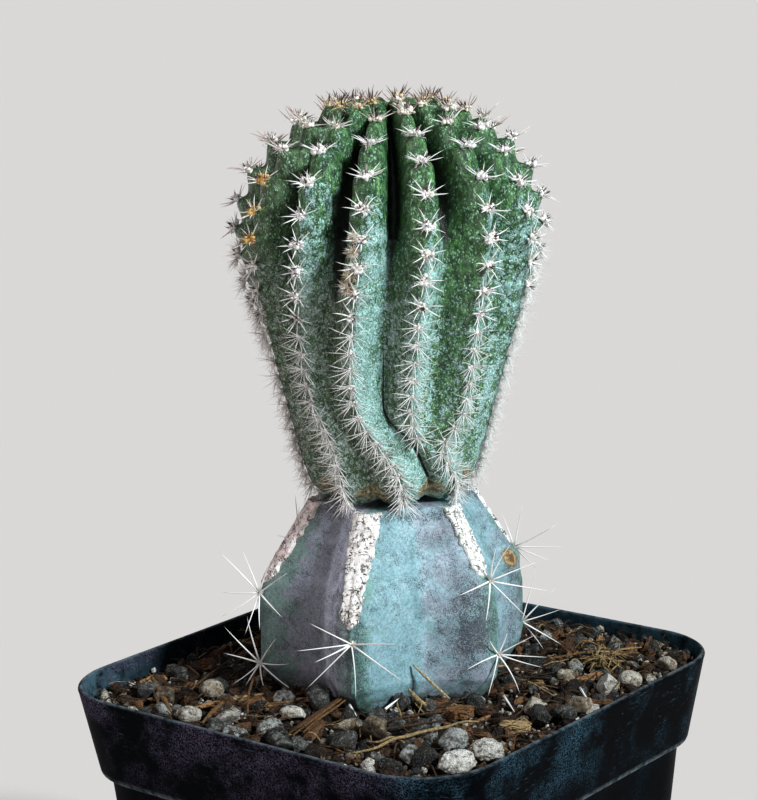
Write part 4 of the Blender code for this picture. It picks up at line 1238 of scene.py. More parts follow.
def crest_place(rib, distance, inset, tilt=None):
    """A place on a rib's crest. With a tilt its up follows the rib and it leans up by the tilt."""
    _, height, outward, upward = (float(v) for v in outline_at(distance))
    angle = float(rib_angle(rib, height))
    point = scion_point(np.array(distance), np.array(angle), np.array(inset))
    normal = unit(plant_direction(angle) * outward + UPWARD * upward)
    along = UPWARD
    if tilt is not None:
        ahead_angle = rib_angle(rib, height + AHEAD * outward)
        along = unit(scion_point(np.array(distance + AHEAD), ahead_angle, np.array(inset)) - point)
        normal = normal + along * tilt
    return areole_place(point, normal, along, rib=rib, distance=distance / MM, height=height / MM)


def add_tuft(batch, place, size, tint, rng, curls, wisps):
    """One tuft: a crumbly heap of small curls, and loose wisps round it."""
    axes = np.stack([place["side"], place["up"], place["normal"]])
    grain, grain_faces = CURL
    heap = unit(rng.normal(size=(curls, 3)) + [0, 0, 0.5])
    heap = heap * rng.uniform(0.15, 0.85, (curls, 1)) * [0.95, 0.8, 0.5]
    centres = place["point"] + (heap + [0, 0, 0.1]) @ axes * size
    radii = size * rng.uniform(0.12, 0.26, (curls, 1, 1)) * rng.uniform(0.65, 1.35, (curls, 1, 3))
    faces = grain_faces + (np.arange(curls) * len(grain))[:, None, None]
    tints = np.clip(tint + rng.uniform(-0.10, 0.14, curls) * (0.4 + 2.0 * tint), 0, 1)
    batch.add(centres[:, None] + grain * radii, faces.reshape(-1, 3), tint=np.repeat(tints, len(grain)))
    outward = unit(rng.normal(size=(wisps, 3)) * [1.3, 0.95, 0.6] + [0, 0, 0.35]) @ axes
    base = place["point"] + outward * size * 0.4 + place["normal"] * size * 0.15
    reach = size * rng.uniform(0.45, 1.15, (wisps, 1))
    tip = base + unit(outward + 0.5 * rng.normal(size=(wisps, 3))) * reach
    bow = rng.normal(size=(wisps, 3)) * reach * 0.22
    points, faces, _, each = needles(base, tip, rng.uniform(0.10, 0.20, wisps) * MM, bow, 3, 2)
    batch.add(points, faces, tint=np.repeat(np.clip(tint + rng.uniform(-0.06, 0.06, wisps), 0, 1), each))


def add_needles(batch, shape, dark, tipped):
    """Adds needles, given as needles() takes them, with the darkness of each."""
    points, faces, along, each = needles(*shape)
    batch.add(points, faces, along=along, dark=np.repeat(np.clip(dark, 0, 1), each), tipped=tipped)


def add_spines(batch, place, angles, tilts, lengths, look, rng, spread, sides=4, steps=3):
    """A ring of spines on one areole: angles from its up, tilts out of it, look as width, dark, tipped."""
    width, dark, tipped = look
    count = len(angles)
    a, t = np.radians(angles)[:, None], np.radians(tilts)[:, None]
    flat = np.sin(a) * place["side"] + np.cos(a) * place["up"]
    direction = flat * np.cos(t) + place["normal"] * np.sin(t)
    base = place["point"] + flat * spread * MM + place["normal"] * 0.25 * MM
    tip = base + direction * lengths[:, None] * MM
    bow = rng.normal(size=(count, 3)) * 0.03 + place["normal"] * rng.uniform(-0.02, 0.05, (count, 1))
    bow = bow * np.minimum(lengths, LONGEST_BOWED)[:, None] * MM
    widths = width * MM * rng.uniform(0.8, 1.2, count)
    darks = dark + rng.uniform(-0.05, 0.08, count)
    add_needles(batch, (base, tip, widths, bow, sides, steps), darks, tipped)


def make_spines(places, material):
    """A star of white spines round a dark centre on each upper areole, dark-tipped at the crown."""
    rng = np.random.default_rng(9)
    batch = Batch()
    for place in places:
        if place["distance"] < STAR_START:
            continue
        share = crown_share(place)
        shade = STAR_SHADE.get(place["rib"], 0.0) * float(smoothstep(40, 76, place["distance"]))
        angles = np.array(STAR_ANGLES) + rng.uniform(-10, 10, len(STAR_ANGLES))
        if share > 0.5:
            angles = rng.permutation(angles)[:CROWN_STAR]
        count = len(angles)
        tilts = rng.uniform(14, 32, count) + rng.uniform(14, 38, count) * share
        lengths = rng.uniform(2.6, 3.8, count) * (1 - 0.1 * share)
        look = (0.27, max(0.22 * share, shade), 0.03 + 0.6 * share)
        add_spines(batch, place, angles, tilts, lengths, look, rng, 0.9)
        count = 3 if share > 0.9 else 4
        angles = rng.uniform(0, 360, count)
        tilts = rng.uniform(50, 85, count)
        lengths = rng.uniform(1.3, 1.8, count) + 1.1 * share
        add_spines(batch, place, angles, tilts, lengths, CENTRE_LOOK, rng, 0.35)
    return batch.build("scion_spines", material)


def add_haze(batch, place, count, dark, rng):
    """Very fine hairs all along a stretch of crest."""
    column = (count, 1)
    gap = float(curve(AREOLE_SPACING, place["distance"])) * MM
    base = place["point"] + place["up"] * rng.uniform(-0.5, 0.5, column) * gap
    base = base + place["side"] * rng.normal(0, 0.4, column) * MM
    direction = place["normal"] * rng.uniform(0.2, 1.0, column)
    direction = direction + place["side"] * rng.normal(0, 0.7, column)
    direction = unit(direction + place["up"] * rng.normal(-0.3, 0.6, column))
    tip = base + direction * rng.uniform(1.2, 3.8, column) * MM
    widths = rng.uniform(0.05, 0.09, count) * MM
    bow = rng.normal(0, 0.2, (count, 3)) * MM
    add_needles(batch, (base, tip, widths, bow, 3, 1), dark + rng.uniform(-0.12, 0.12, count), 0.0)


def add_bristle_rows(batch, place, look, lower, hang, rng):
    """Thin spines spread to both sides and down; hang turns them down and out."""
    pairs = 4 + round(lower)
    for side in (-1, 1):
        angles = side * (np.linspace(68 + 34 * hang, 150 + 18 * hang, pairs) + rng.uniform(-8, 8, pairs))
        tilts = rng.uniform(8, 30, pairs) + 26 * hang
        lengths = rng.uniform(3.4, 5.0, pairs) * (1 + 0.15 * hang)
        add_spines(batch, place, angles, tilts, lengths, look, rng, 0.35, 3)
    angles = rng.uniform(170, 190, 1)
    tilts = rng.uniform(12, 20, 1) + 30 * hang
    add_spines(batch, place, angles, tilts, np.array([4.2]), look, rng, 0.3, 3)


def make_bristles(places, material):
    """Bristles on the close-set areoles near the graft, with fine hairs."""
    rng = np.random.default_rng(12)
    batch = Batch()
    for place in places:
        if place["distance"] >= STAR_START + BRISTLE_OVERLAP:
            continue
        dark = 0.02 + BRISTLE_SHADE.get(place["rib"], 0.0)
        lower = 1 - float(smoothstep(22, 46, place["distance"]))
        hang = 1 - float(smoothstep(2, 8, place["distance"]))
        if place["distance"] < STAR_START:
            add_bristle_rows(batch, place, (0.18, dark, 0.05), lower, hang, rng)
        hairs = int(4 + 9 * lower)
        angles = rng.uniform(-175, 175, hairs)
        tilts = rng.uniform(20, 75, hairs)
        lengths = rng.uniform(2.2, 4.6, hairs)
        add_spines(batch, place, angles, tilts, lengths, (0.10, dark + 0.06, 0.05), rng, 0.25, 3, 2)
        if place["rib"] in HAZE:
            add_haze(batch, place, *HAZE[place["rib"]], rng)
    return batch.build("scion_bristles", material)


# Rootstock

def root_radius(angle, height):
    """Radius of the rootstock, and the signed angle from the nearest crest (negative on its left)."""
    crest = straight(ROOT_CREST, height / MM)
    groove = straight(ROOT_GROOVE, height / MM)
    crests = np.array([rib[0] for rib in ROOT_RIBS] + [ROOT_RIBS[0][0] + 360], float)
    local = (angle - crests[0]) % 360 + crests[0]
    rib = np.clip(np.searchsorted(crests, local, side="right") - 1, 0, len(ROOT_RIBS) - 1)
    after, before = local - crests[rib], crests[rib + 1] - local
    apart = np.minimum(after, before)
    side = np.where(after <= before, apart, -apart)
    half = (after + before) / 2
    turn, wide = np.radians(apart), np.radians(half)
    chord = crest * groove * np.sin(wide) / (crest * np.sin(turn) + groove * np.sin(wide - turn))
    hang = np.minimum(crest - groove, 6) / 6
    rounded = 0.55 * bell(half - apart, 3.4) - 0.75 * bell(apart, 2.6)
    shoulder = 0.8 * smoothstep(-13.5, -9.5, side) * (1 - smoothstep(-6, -0.5, side))
    return (chord + hang * (rounded + shoulder)) * MM, side


def root_swell(points, side, level, nearest):
    """How far the skin stands out: soft lumps, and a bulge under each areole."""
    lumps = 0.35 * MM * noise_at(points, 9 * MM) + 0.10 * MM * noise_at(points, 2.4 * MM, 3.0)
    swell = lumps * smoothstep(-6, -2, level)
    for index, (_, areoles) in enumerate(ROOT_RIBS):
        for place in areoles:
            swell = swell + 0.5 * MM * bell(side, 4.5) * (nearest == index) * bell(level - place + 0.6, 1.6)
    return swell


def root_stain(side, level, nearest):
    """Where dark specks gather: on left flanks, under the graft and beside the front rib."""
    stain = bell(side + 9, 8) * bell(level - 13, 9) * np.where(nearest == 2, 1.0, 0.5)
    stain = stain + 0.4 * bell(level - 35, 1.3)
    stain = stain + 0.75 * (nearest == 1) * bell(side - 2.5, 3.2) * bell(level - 10, 9)
    return np.clip(stain, 0, 1)


def make_rootstock_skin(material):
    """The rootstock's skin, down into the soil."""
    first = ROOT_RIBS[0][0]
    buried = np.linspace(ROOT_FOOT, -7, ROOT_ROWS[0])
    level = np.append(buried, np.linspace(-6, ROOT_SKIN_TOP, ROOT_ROWS[1]))
    angle, level = np.meshgrid(np.linspace(first, first + 360, ROOT_COLUMNS, endpoint=False), level)
    height = level * MM
    radius, side = root_radius(angle, height)
    nearest = rib_number(angle)
    swell = root_swell(plant_point(radius, angle, height), side, level, nearest)
    wound = bell(turn_from(WOUND_PLACE[0], angle), WOUND_REACH[0])
    wound = wound * bell(level - WOUND_PLACE[1], WOUND_REACH[1])
    # Share of cyan and lightness round the stem: partly painted light and shade
    places, *tints = zip(*ROOT_TINTS)
    cyan, light = (np.interp((angle - places[0]) % 360 + places[0], places, tint) for tint in tints)
    batch = Batch()
    batch.add_tube(plant_point(radius + swell, angle, height), stain=root_stain(side, level, nearest),
                   foot=1 - smoothstep(-1.5, 2.5, level), wound=1.15 * wound, cyan=cyan, light=light,
                   edge=bell(side, np.array(ROOT_GREEN)[nearest]))
    return batch.build("rootstock_skin", material)


def rib_number(angle):
    """Index of the rootstock rib nearest to each angle."""
    crests = np.array([rib[0] for rib in ROOT_RIBS], float)
    return np.argmin(np.abs(turn_from(crests, angle[..., None])), axis=-1)


def root_surface(angle, height):
    """Points and outward normals on the rootstock's surface."""
    step = 0.3
    here = plant_point(root_radius(angle, height)[0], angle, height)
    beside = plant_point(root_radius(angle + step, height)[0], angle + step, height)
    above = plant_point(root_radius(angle, height + step * MM)[0], angle, height + step * MM)
    return here, unit(np.cross(beside - here, above - here))


def callus_cracks(point, seed):
    """1 along the cracks between plates of cork, 0 on the plates."""
    plates = noise_at(point * [1.2, 1.2, 0.4], 1.5 * MM, seed) + 0.35 * noise_at(point, 0.5 * MM, 7.0)
    crack = 1 - smoothstep(0.0, 0.06, np.abs(plates))
    return crack * smoothstep(-0.1, 0.2, noise_at(point, 2.5 * MM, 21.0))


def make_callus(material):
    """Cracked cork on the shoulders where the rootstock's ribs were cut back."""
    rng = np.random.default_rng(17)
    batch = Batch()
    across, up = np.meshgrid(np.linspace(-1, 1, CALLUS_GRID[0]), np.linspace(0, 1, CALLUS_GRID[1]))
    for (crest, areoles), (top_width, low_width, foot_height, pink) in zip(ROOT_RIBS, CALLUS):
        low = areoles[0] + foot_height
        height = (low + (CALLUS_TOP - low) * up) * MM
        half = (low_width + (top_width - low_width) * up ** 1.2) * MM
        radius = root_radius(np.full_like(height, crest), height)[0]
        angle = crest - 0.8 * (1 - up) + np.degrees(across * half * 1.25 / radius)
        point, normal = root_surface(angle, height)
        edge = np.abs(across) * 1.25 + 0.24 * noise_at(point, 1.2 * MM, rng.uniform(0, 30))
        foot = np.clip(1 - up * (CALLUS_TOP - low) / (1.6 * low_width), 0, 1) ** 1.3 + 0.85 * np.abs(across)
        mask = (1 - smoothstep(0.88, 1.0, np.maximum(edge, foot))) * (1 - smoothstep(0.985, 1.0, up))
        crack = callus_cracks(point, rng.uniform(0, 30))
        bead = 0.22 * smoothstep(0.55, 0.9, edge) * (0.6 + noise_at(point, 0.9 * MM, 11.0))
        rise = 0.45 + 0.14 * noise_at(point, 1.2 * MM, 3.0) + bead - 0.28 * crack
        lift = (mask * rise - (1 - mask) * 0.35) * MM
        add_slab(batch, point + normal * lift[..., None], point - normal * 0.7 * MM, crack=crack * mask,
                 pink=np.full(crack.shape, pink))
    return batch.build("rootstock_callus", material)


def add_slab(batch, top, under, **values):
    """A closed slab between two grids of points (rows, columns, 3)."""
    rows, columns = top.shape[:2]
    count = rows * columns
    index = np.arange(count).reshape(rows, columns)
    quads = np.stack([index[:-1, :-1], index[:-1, 1:], index[1:, 1:], index[1:, :-1]], -1).reshape(-1, 4)
    rim = np.concatenate([index[0, :-1], index[:-1, -1], index[-1, :0:-1], index[:0:-1, 0]])
    after = np.roll(rim, -1)
    wall = np.stack([rim, rim + count, after + count, after], -1)
    points = np.concatenate([top.reshape(-1, 3), under.reshape(-1, 3)])
    merged = {key: np.append(value, np.zeros(count)) for key, value in values.items()}
    batch.add(points, [quads, quads[:, ::-1] + count, wall], **merged)


def random_star(rng):
    """Angles and lengths of an areole's spines, where none are listed."""
    count = int(rng.integers(7, 10))
    angles = np.arange(count) * 360 / count + rng.uniform(0, 40) + rng.uniform(-10, 10, count)
    return angles, rng.uniform(7.2, 11.0, count)


def make_root_spines(spine, wool):
    """The rootstock's areoles: a grey felt cushion with long stiff spines."""
    rng = np.random.default_rng(23)
    spines = Batch()
    felt = Batch()
    for rib, (crest, areoles) in enumerate(ROOT_RIBS):
        for height in areoles:
            point, normal = root_surface(np.array([crest * 1.0]), np.array([height * MM]))
            normal = unit(normal[0] + 0.12 * UPWARD)
            place = areole_place(point[0] + normal * 0.35 * MM, normal, UPWARD)
            add_tuft(felt, place, 0.8 * MM, 0.16, rng, 20, 30)
            if (rib, height) in ROOT_STARS:
                facing, star = ROOT_STARS[rib, height]
                angles, lengths = np.array(star, float).T
                place = areole_place(place["point"], plant_direction(facing), UPWARD)
            else:
                angles, lengths = random_star(rng)
            down = -np.cos(np.radians(angles))
            reach = (height + 1.5) / np.maximum(down, 0.25)
            lengths = np.where(down > 0.2, np.minimum(lengths, reach), lengths)
            tilts = rng.uniform(12, 26, len(angles))
            lengths = lengths / np.cos(np.radians(tilts))
            add_spines(spines, place, angles, tilts, lengths, ROOT_SPINE_LOOK, rng, 0.3, 6, 6)
    return spines.build("rootstock_spines", spine), felt.build("rootstock_felt", wool)


# Pot

def square_reach(half, radius, angle):
    """Distance from the middle of a square with round corners to its edge."""
    turn = np.abs((angle + math.pi / 4) % (math.pi / 2) - math.pi / 4)
    offset = half - radius
    forward = offset * (np.cos(turn) + np.sin(turn))
    corner = forward + np.sqrt(np.maximum(forward ** 2 - 2 * offset ** 2 + radius ** 2, 0))
    return np.where(half * np.tan(turn) <= offset, half / np.cos(turn), corner)


def pot_half(height, inset=0.0):
    """Half width of the pot's outer side at a height over the base, less an inset."""
    fall = POT_HEIGHT - height
    below = fall - COLLAR_HEIGHT
    collar = POT_HALF_WIDTH - COLLAR_TAPER * fall
    body = POT_HALF_WIDTH - COLLAR_TAPER * COLLAR_HEIGHT - COLLAR_STEP - BODY_TAPER * below
    return np.where(fall <= COLLAR_HEIGHT, collar, body) - inset


def square_ring(half, radius, height):
    """Ring of a square with round corners, with evenly spaced points."""
    ring = []
    for corner in range(4):
        turn = math.radians(90 * corner)
        middle = turn + math.pi / 4
        reach = math.sqrt(2) * (half - radius)
        centre = np.array([reach * math.cos(middle), reach * math.sin(middle)])
        for angle in turn + math.pi / 2 * np.arange(CORNER_STEPS + 1) / CORNER_STEPS:
            ring.append(centre + radius * np.array([math.cos(angle), math.sin(angle)]))
        following = centre @ np.array([[0, 1], [-1, 0]])
        start = ring[-1]
        end = following + start - centre
        ring.extend(start + (end - start) * k / SIDE_STEPS for k in range(1, SIDE_STEPS))
    return np.column_stack([ring, np.full(len(ring), height)])


def pot_profile():
    """(height, half width, corner radius, edge wear and painted highlight, inside) round the pot's wall,
    base first.
    """
    step = POT_HEIGHT - COLLAR_HEIGHT
    collar_foot = float(pot_half(step))
    ledge_top = step + POT_WALL
    ledge = collar_foot + COLLAR_TAPER * POT_WALL - POT_WALL
    rows = []

    def add(height, half, edge=0.0, inside=0.0):
        inset = POT_WALL if inside else 0
        rows.append((height, half, POT_CORNER_RADIUS - inset, edge, inside))
    base = float(pot_half(0))
    add(0, base - 0.9 * MM)
    add(0.25 * MM, base - 0.25 * MM, 0.4)
    add(0.9 * MM, base, 0.2)
    for height in np.linspace(3 * MM, step - COLLAR_STEP_FALL - 0.3 * MM, BODY_RINGS):
        add(height, float(pot_half(height)))
    add(step - COLLAR_STEP_FALL, float(pot_half(step - COLLAR_STEP_FALL)) + 0.08 * MM)
    add(step - 0.15 * MM, collar_foot - 0.35 * MM, 0.3)
    add(step + 0.1 * MM, collar_foot - 0.06 * MM, 0.9)
    add(step + 0.4 * MM, float(pot_half(step + 0.4 * MM)), 0.6)
    for height in np.linspace(step + 1.2 * MM, POT_HEIGHT - 1.2 * MM, COLLAR_RINGS):
        add(height, float(pot_half(height)))
    half_wall = POT_WALL / 2
    for turn in np.linspace(0, math.pi, RIM_RINGS):
        add(POT_HEIGHT - half_wall + half_wall * math.sin(turn) * 0.98,
            POT_HALF_WIDTH - half_wall + half_wall * math.cos(turn) - 0.05 * MM,
            math.sin(turn) ** 4, 1.0 if turn > 1.6 else 0.0)
    for height in np.linspace(POT_HEIGHT - 1.5 * MM, ledge_top + 0.6 * MM, INNER_RINGS):
        add(height, float(pot_half(height, POT_WALL)), 0, 1)
    add(ledge_top, ledge, 0, 1)
    add(ledge_top - COLLAR_STEP_FALL, ledge - COLLAR_STEP, 0, 1)
    for height in np.linspace(ledge_top - 3 * MM, POT_FLOOR, INNER_RINGS):
        add(height, float(pot_half(height, POT_WALL)), 0, 1)
    return rows


def make_pot(material):
    """The pot: finely lofted wall, a little bowed, with drainage holes."""
    profile = pot_profile()
    rings = np.array([square_ring(half, radius, height) for height, half, radius, _, _ in profile])
    height, _, _, wear, inside = (np.repeat(row, rings.shape[1]) for row in zip(*profile))
    bow = 0.22 * MM * noise_at(rings * [1, 1, 0.7], 45 * MM, 2.0) * smoothstep(0, 30 * MM, rings[..., 2])
    rings[..., :2] *= (1 - np.abs(bow) / (45 * MM))[..., None]
    x, y = rings[..., 0].ravel(), rings[..., 1].ravel()
    # Painted light on the inner wall, strongest by the left corner and along the side at +Y
    dusty = 0.10 + 0.85 * bell(np.hypot(x + POT_HALF_WIDTH, y + POT_HALF_WIDTH), 17 * MM)
    dusty = dusty + 0.35 * smoothstep(20 * MM, 42 * MM, y)
    batch = Batch()
    # The front-left side takes the violet painted sheen
    batch.add_tube(rings, edge=wear, lilac=smoothstep(0, 24 * MM, -x - y), inside=inside * dusty,
                   rise=height / POT_HEIGHT)
    pot = batch.build("pot_shell", material)
    cut_drains(pot)
    return pot


def cut_drains(pot):
    """Cuts the four drainage holes through the pot's floor."""
    shape = bmesh.new()
    for x in (-DRAIN_OFFSET, DRAIN_OFFSET):
        for y in (-DRAIN_OFFSET, DRAIN_OFFSET):
            bmesh.ops.create_cone(shape, cap_ends=True, segments=40, radius1=DRAIN_RADIUS,
                                  radius2=DRAIN_RADIUS, depth=4 * POT_FLOOR,
                                  matrix=Matrix.Translation((x, y, 0)))
    mesh = bpy.data.meshes.new("drain_cutter")
    shape.to_mesh(mesh)
    shape.free()
    cutter = new_object("drain_cutter", mesh)
    cut = pot.modifiers.new("drain", "BOOLEAN")
    cut.operation = "DIFFERENCE"
    cut.object = cutter
    apply_modifiers(pot)
    bpy.data.objects.remove(cutter)


def apply_modifiers(item):
    """Bakes an object's modifiers into its mesh."""
    depsgraph = bpy.context.evaluated_depsgraph_get()
    mesh = bpy.data.meshes.new_from_object(item.evaluated_get(depsgraph))
    item.modifiers.clear()
    item.data = mesh


# Soil

def soil_level(x, y):
    """Mean level of the soil over the rim."""
    apart = np.maximum(0.0, np.hypot(x, y) - SOIL_MOUND_REACH)
    mound = SOIL_MOUND * bell(apart, SOIL_MOUND_SPREAD)
    return SOIL_LEVEL + mound + SOIL_FALL * np.minimum(x, 0) / POT_HALF_WIDTH


def soil_lumps(x, y):
    """Lumps of the soil's surface."""
    points = np.stack([x, y, np.zeros_like(x)], -1)
    return 0.55 * MM * noise_at(points, 6 * MM, 4.0) + 0.4 * MM * noise_at(points, 2.2 * MM, 9.0)


def soil_height(x, y):
    """Height of the peat between the grains."""
    return POT_HEIGHT + soil_level(x, y) + soil_lumps(x, y) - PEAT_DEPTH


def wall_reach(angle, height, inset):
    """Distance from the pot's middle to the inside of its wall."""
    half = pot_half(height, POT_WALL + inset)
    return square_reach(half, POT_CORNER_RADIUS - POT_WALL - inset, angle)


def stem_reach(angle_world, height):
    """Distance from the pot's middle to the rootstock, by world angle in radians."""
    plant = np.degrees(angle_world) - FRONT_AZIMUTH
    return root_radius(plant, np.full_like(plant, height))[0]


def level_ring(angle, reach, height):
    """A ring of points round the pot's middle."""
    return np.stack([reach * np.cos(angle), reach * np.sin(angle), np.broadcast_to(height, angle.shape)], -1)


def make_soil_bed(material):
    """The peat between the grains: a lumpy top, sides down the pot and a hole round the stem."""
    angle = np.linspace(-math.pi, math.pi, BED_COLUMNS, endpoint=False)
    sides = (POT_FLOOR + GAP, BED_MIDDLE, POT_HEIGHT - COLLAR_HEIGHT - 1 * MM)
    rings = [level_ring(angle, wall_reach(angle, height, SOIL_WALL_GAP), height) for height in sides]
    outer = wall_reach(angle, POT_HEIGHT - 4 * MM, SOIL_WALL_GAP)
    inner = stem_reach(angle, -2 * MM) + STEM_GAP
    for share in np.linspace(0, 1, BED_ROWS):
        reach = outer + (inner - outer) * share
        rings.append(level_ring(angle, reach, soil_height(reach * np.cos(angle), reach * np.sin(angle))))
    for depth in STEM_HOLE:
        rings.append(level_ring(angle, stem_reach(angle, -depth) + STEM_GAP, POT_HEIGHT - depth))
    return mesh_object("soil_bed", *capped_tube(np.array(rings)), material)


def cut_stone(directions, rng, planes, low, high, box, rough):
    """Radii of a faceted stone: the nearest of several random planes in each direction, roughened."""
    normals = unit(rng.normal(size=(planes, 3)))
    if box:
        axes = np.concatenate([np.eye(3), -np.eye(3)])
        normals = np.concatenate([unit(axes + rng.normal(0, box, (6, 3))), normals])
    heights = rng.uniform(low, high, len(normals))
    heights[:6] = rng.uniform(0.72, 0.95, 6) if box else heights[:6]
    lean = directions @ normals.T
    radii = np.where(lean > 0.05, heights / np.maximum(lean, 0.05), 9.0).min(axis=1)
    return np.minimum(radii, 1.35) * (1 + rough * noise_at(directions, 0.35, rng.uniform(0, 40)))


def random_turns(rng, count, tilt):
    """Rotation matrices: a free turn about Z, and a tilt of at most tilt degrees."""
    turn = rng.uniform(0, 2 * np.pi, count)
    lean = np.radians(rng.uniform(-tilt, tilt, (count, 2)))
    result = np.empty((count, 3, 3))
    for i in range(count):
        result[i] = np.array(Matrix.Rotation(turn[i], 3, "Z") @ Matrix.Rotation(lean[i, 0], 3, "X")
                             @ Matrix.Rotation(lean[i, 1], 3, "Y"))
    return result


def free_places(rng, count, margin, keep_off):
    """Random places on the soil, clear of the wall, the stem and the larger stones."""
    places = []
    while len(places) < count:
        x, y = rng.uniform(-POT_HALF_WIDTH, POT_HALF_WIDTH, 2)
        angle = math.atan2(y, x)
        reach = math.hypot(x, y)
        size = margin[len(places)]
        if reach > wall_reach(np.array([angle]), POT_HEIGHT - 3 * MM, 0.3 * MM)[0] - size:
            continue
        if reach < stem_reach(np.array([angle]), 0.5 * MM)[0] + 0.75 * size:
            continue
        if any(math.hypot(x - a, y - b) < r + 0.4 * size for a, b, r in keep_off):
            continue
        places.append((x, y))
    return np.array(places)


def grain_values(tone, local):
    """Per-vertex values of a grain: its tone and its own coordinates."""
    values = {"grain_" + axis: local[:, column] for column, axis in enumerate("xyz")}
    return {"tone": np.full(len(local), tone), **values}


def scatter(material, seed, keep_off, name, count, sizes, flat, wide, cut, tones, tilt,
            sink=0.3, shapes=14, level=2):
    """Scatters grains of one kind over the soil, clear of the places to keep off."""
    rng = np.random.default_rng(seed)
    directions, faces = ball(level)
    radii = [cut_stone(directions, rng, *cut) for _ in range(shapes)]
    smallest, largest, power = sizes
    half = (smallest + (largest - smallest) * rng.random(count) ** power) * MM
    places = free_places(rng, count, half, keep_off)
    turns = random_turns(rng, count, tilt)
    width = rng.uniform(*wide, count)
    thick = rng.uniform(*flat, count)
    ground = soil_height(places[:, 0], places[:, 1])
    batch = Batch()
    for i in range(count):
        local = directions * radii[rng.integers(shapes)][:, None] * [1, width[i], thick[i]] * half[i]
        shape = local @ turns[i].T
        lift = shape[:, 2].max() * (1 - 2 * sink) + rng.uniform(0, 0.5) * MM
        local = local / MM + rng.uniform(0, 40, 3)
        tone = rng.choice(tones) + rng.uniform(-0.06, 0.06)
        batch.add(shape + [*places[i], ground[i] + lift], faces, **grain_values(tone, local))
    return batch.build(name, material, smooth=False)


def add_loose_fibres(batch, rng, count):
    """Strands that lie over the grains all over the soil."""
    steps = 7
    for start in free_places(rng, count, np.full(count, 1.5 * MM), []):
        length = rng.uniform(2.5, 9) * MM * rng.choice([0.7, 1.0, 1.7], p=[0.5, 0.4, 0.1])
        heading = rng.uniform(0, 2 * np.pi) + np.cumsum(rng.normal(0, 0.2, steps))
        x = start[0] + np.cumsum(np.cos(heading)) * length / steps
        y = start[1] + np.cumsum(np.sin(heading)) * length / steps
        angle = np.arctan2(y, x)
        nearest = stem_reach(angle, 0.5 * MM) + 0.6 * MM
        furthest = wall_reach(angle, POT_HEIGHT - 3 * MM, 0.9 * MM)
        reach = np.clip(np.hypot(x, y), nearest, furthest)
        x, y = reach * np.cos(angle), reach * np.sin(angle)
        arch = np.sin(np.linspace(0, np.pi, steps)) * rng.uniform(-0.3, 1.2) * MM
        slope = np.linspace(-1, 1, steps) * rng.uniform(-0.9, 0.9) * MM
        z = soil_height(x, y) + rng.uniform(1.4, 2.8) * MM + arch + slope
        tone = rng.choice([0.05, 0.2, 0.4, 0.55, 0.85], p=[0.25, 0.25, 0.25, 0.15, 0.1])
        add_strand(batch, np.stack([x, y, z], -1), rng.uniform(0.12, 0.42) * MM, 4, tone)


def add_coir_ball(batch, rng):
    """Short arched strands that cross in one place."""
    for _ in range(COIR_STRANDS):
        x, y = rng.normal(COIR_PLACE, COIR_REACH / 2.4)
        turn, reach = rng.uniform(0, np.pi), rng.uniform(0.5, 1.0) * COIR_REACH
        across, along = math.cos(turn) * reach, math.sin(turn) * reach
        bend = rng.normal(0, 0.9, 2)
        rise = rng.uniform(1.6, 4.2)
        top = (x + bend[0], y + bend[1], rise + rng.uniform(0.2, 1.4))
        path = ((x - across, y - along, rise - 0.6), top, (x + across, y + along, rise - 0.6))
        width = rng.uniform(0.16, 0.40) * MM
        add_strand(batch, soil_path(path, 8), width, 4, rng.choice(COIR_TONES))


def make_fibres(material):
    """Strands of coir and thin roots, and the sticks, roots and husks in view."""
    rng = np.random.default_rng(41)
    batch = Batch()
    add_loose_fibres(batch, rng, LOOSE_FIBRES)
    add_coir_ball(batch, rng)
    for width, tone, path in STRANDS:
        add_strand(batch, soil_path(path, 24), width * MM, 7, tone, 0.16)
    return batch.build("soil_fibres", material)


def soil_path(path, steps):
    """Smooth points of a path given as (x, y, height over the soil) in mm."""
    path = np.array(path, float)
    share = np.linspace(0, 1, len(path))
    fine = np.linspace(0, 1, steps)
    x, y, lift = (curve(list(zip(share, path[:, axis])), fine) * MM for axis in range(3))
    return np.stack([x, y, soil_height(x, y) - soil_lumps(x, y) + lift], -1)


def make_fallen_spines(material):
    """White spines that lie on the soil."""
    batch = Batch()
    for ends in FALLEN_SPINES:
        path = soil_path(ends, 2)
        add_needles(batch, (path[:1], path[1:], [0.55 * MM], [(0, 0, 0)], 6, 4), [0.0], 0.1)
    return batch.build("fallen_spines", material)


def make_extra_stones(name, material, look, seed):
    """The stones in view of one look."""
    rng = np.random.default_rng(seed)
    directions, faces = ball(4)
    batch = Batch()
    for x, y, halves, kind, tone in EXTRA_STONES:
        if kind != look:
            continue
        radii = cut_stone(directions, rng, *ROUND)
        radii = radii * (1 + 0.03 * noise_at(directions, 0.16, rng.uniform(0, 40)))
        shape = directions * radii[:, None] * np.array(halves) * MM @ random_turns(rng, 1, 14)[0].T
        local = shape / MM + rng.uniform(0, 40, 3)
        x, y = x * MM, y * MM
        foot = float(soil_height(np.array([x]), np.array([y]))[0]) + 0.4 * MM
        batch.add(shape + [x, y, foot - shape[:, 2].min()], faces, **grain_values(tone, local))
    return batch.build(name, material)


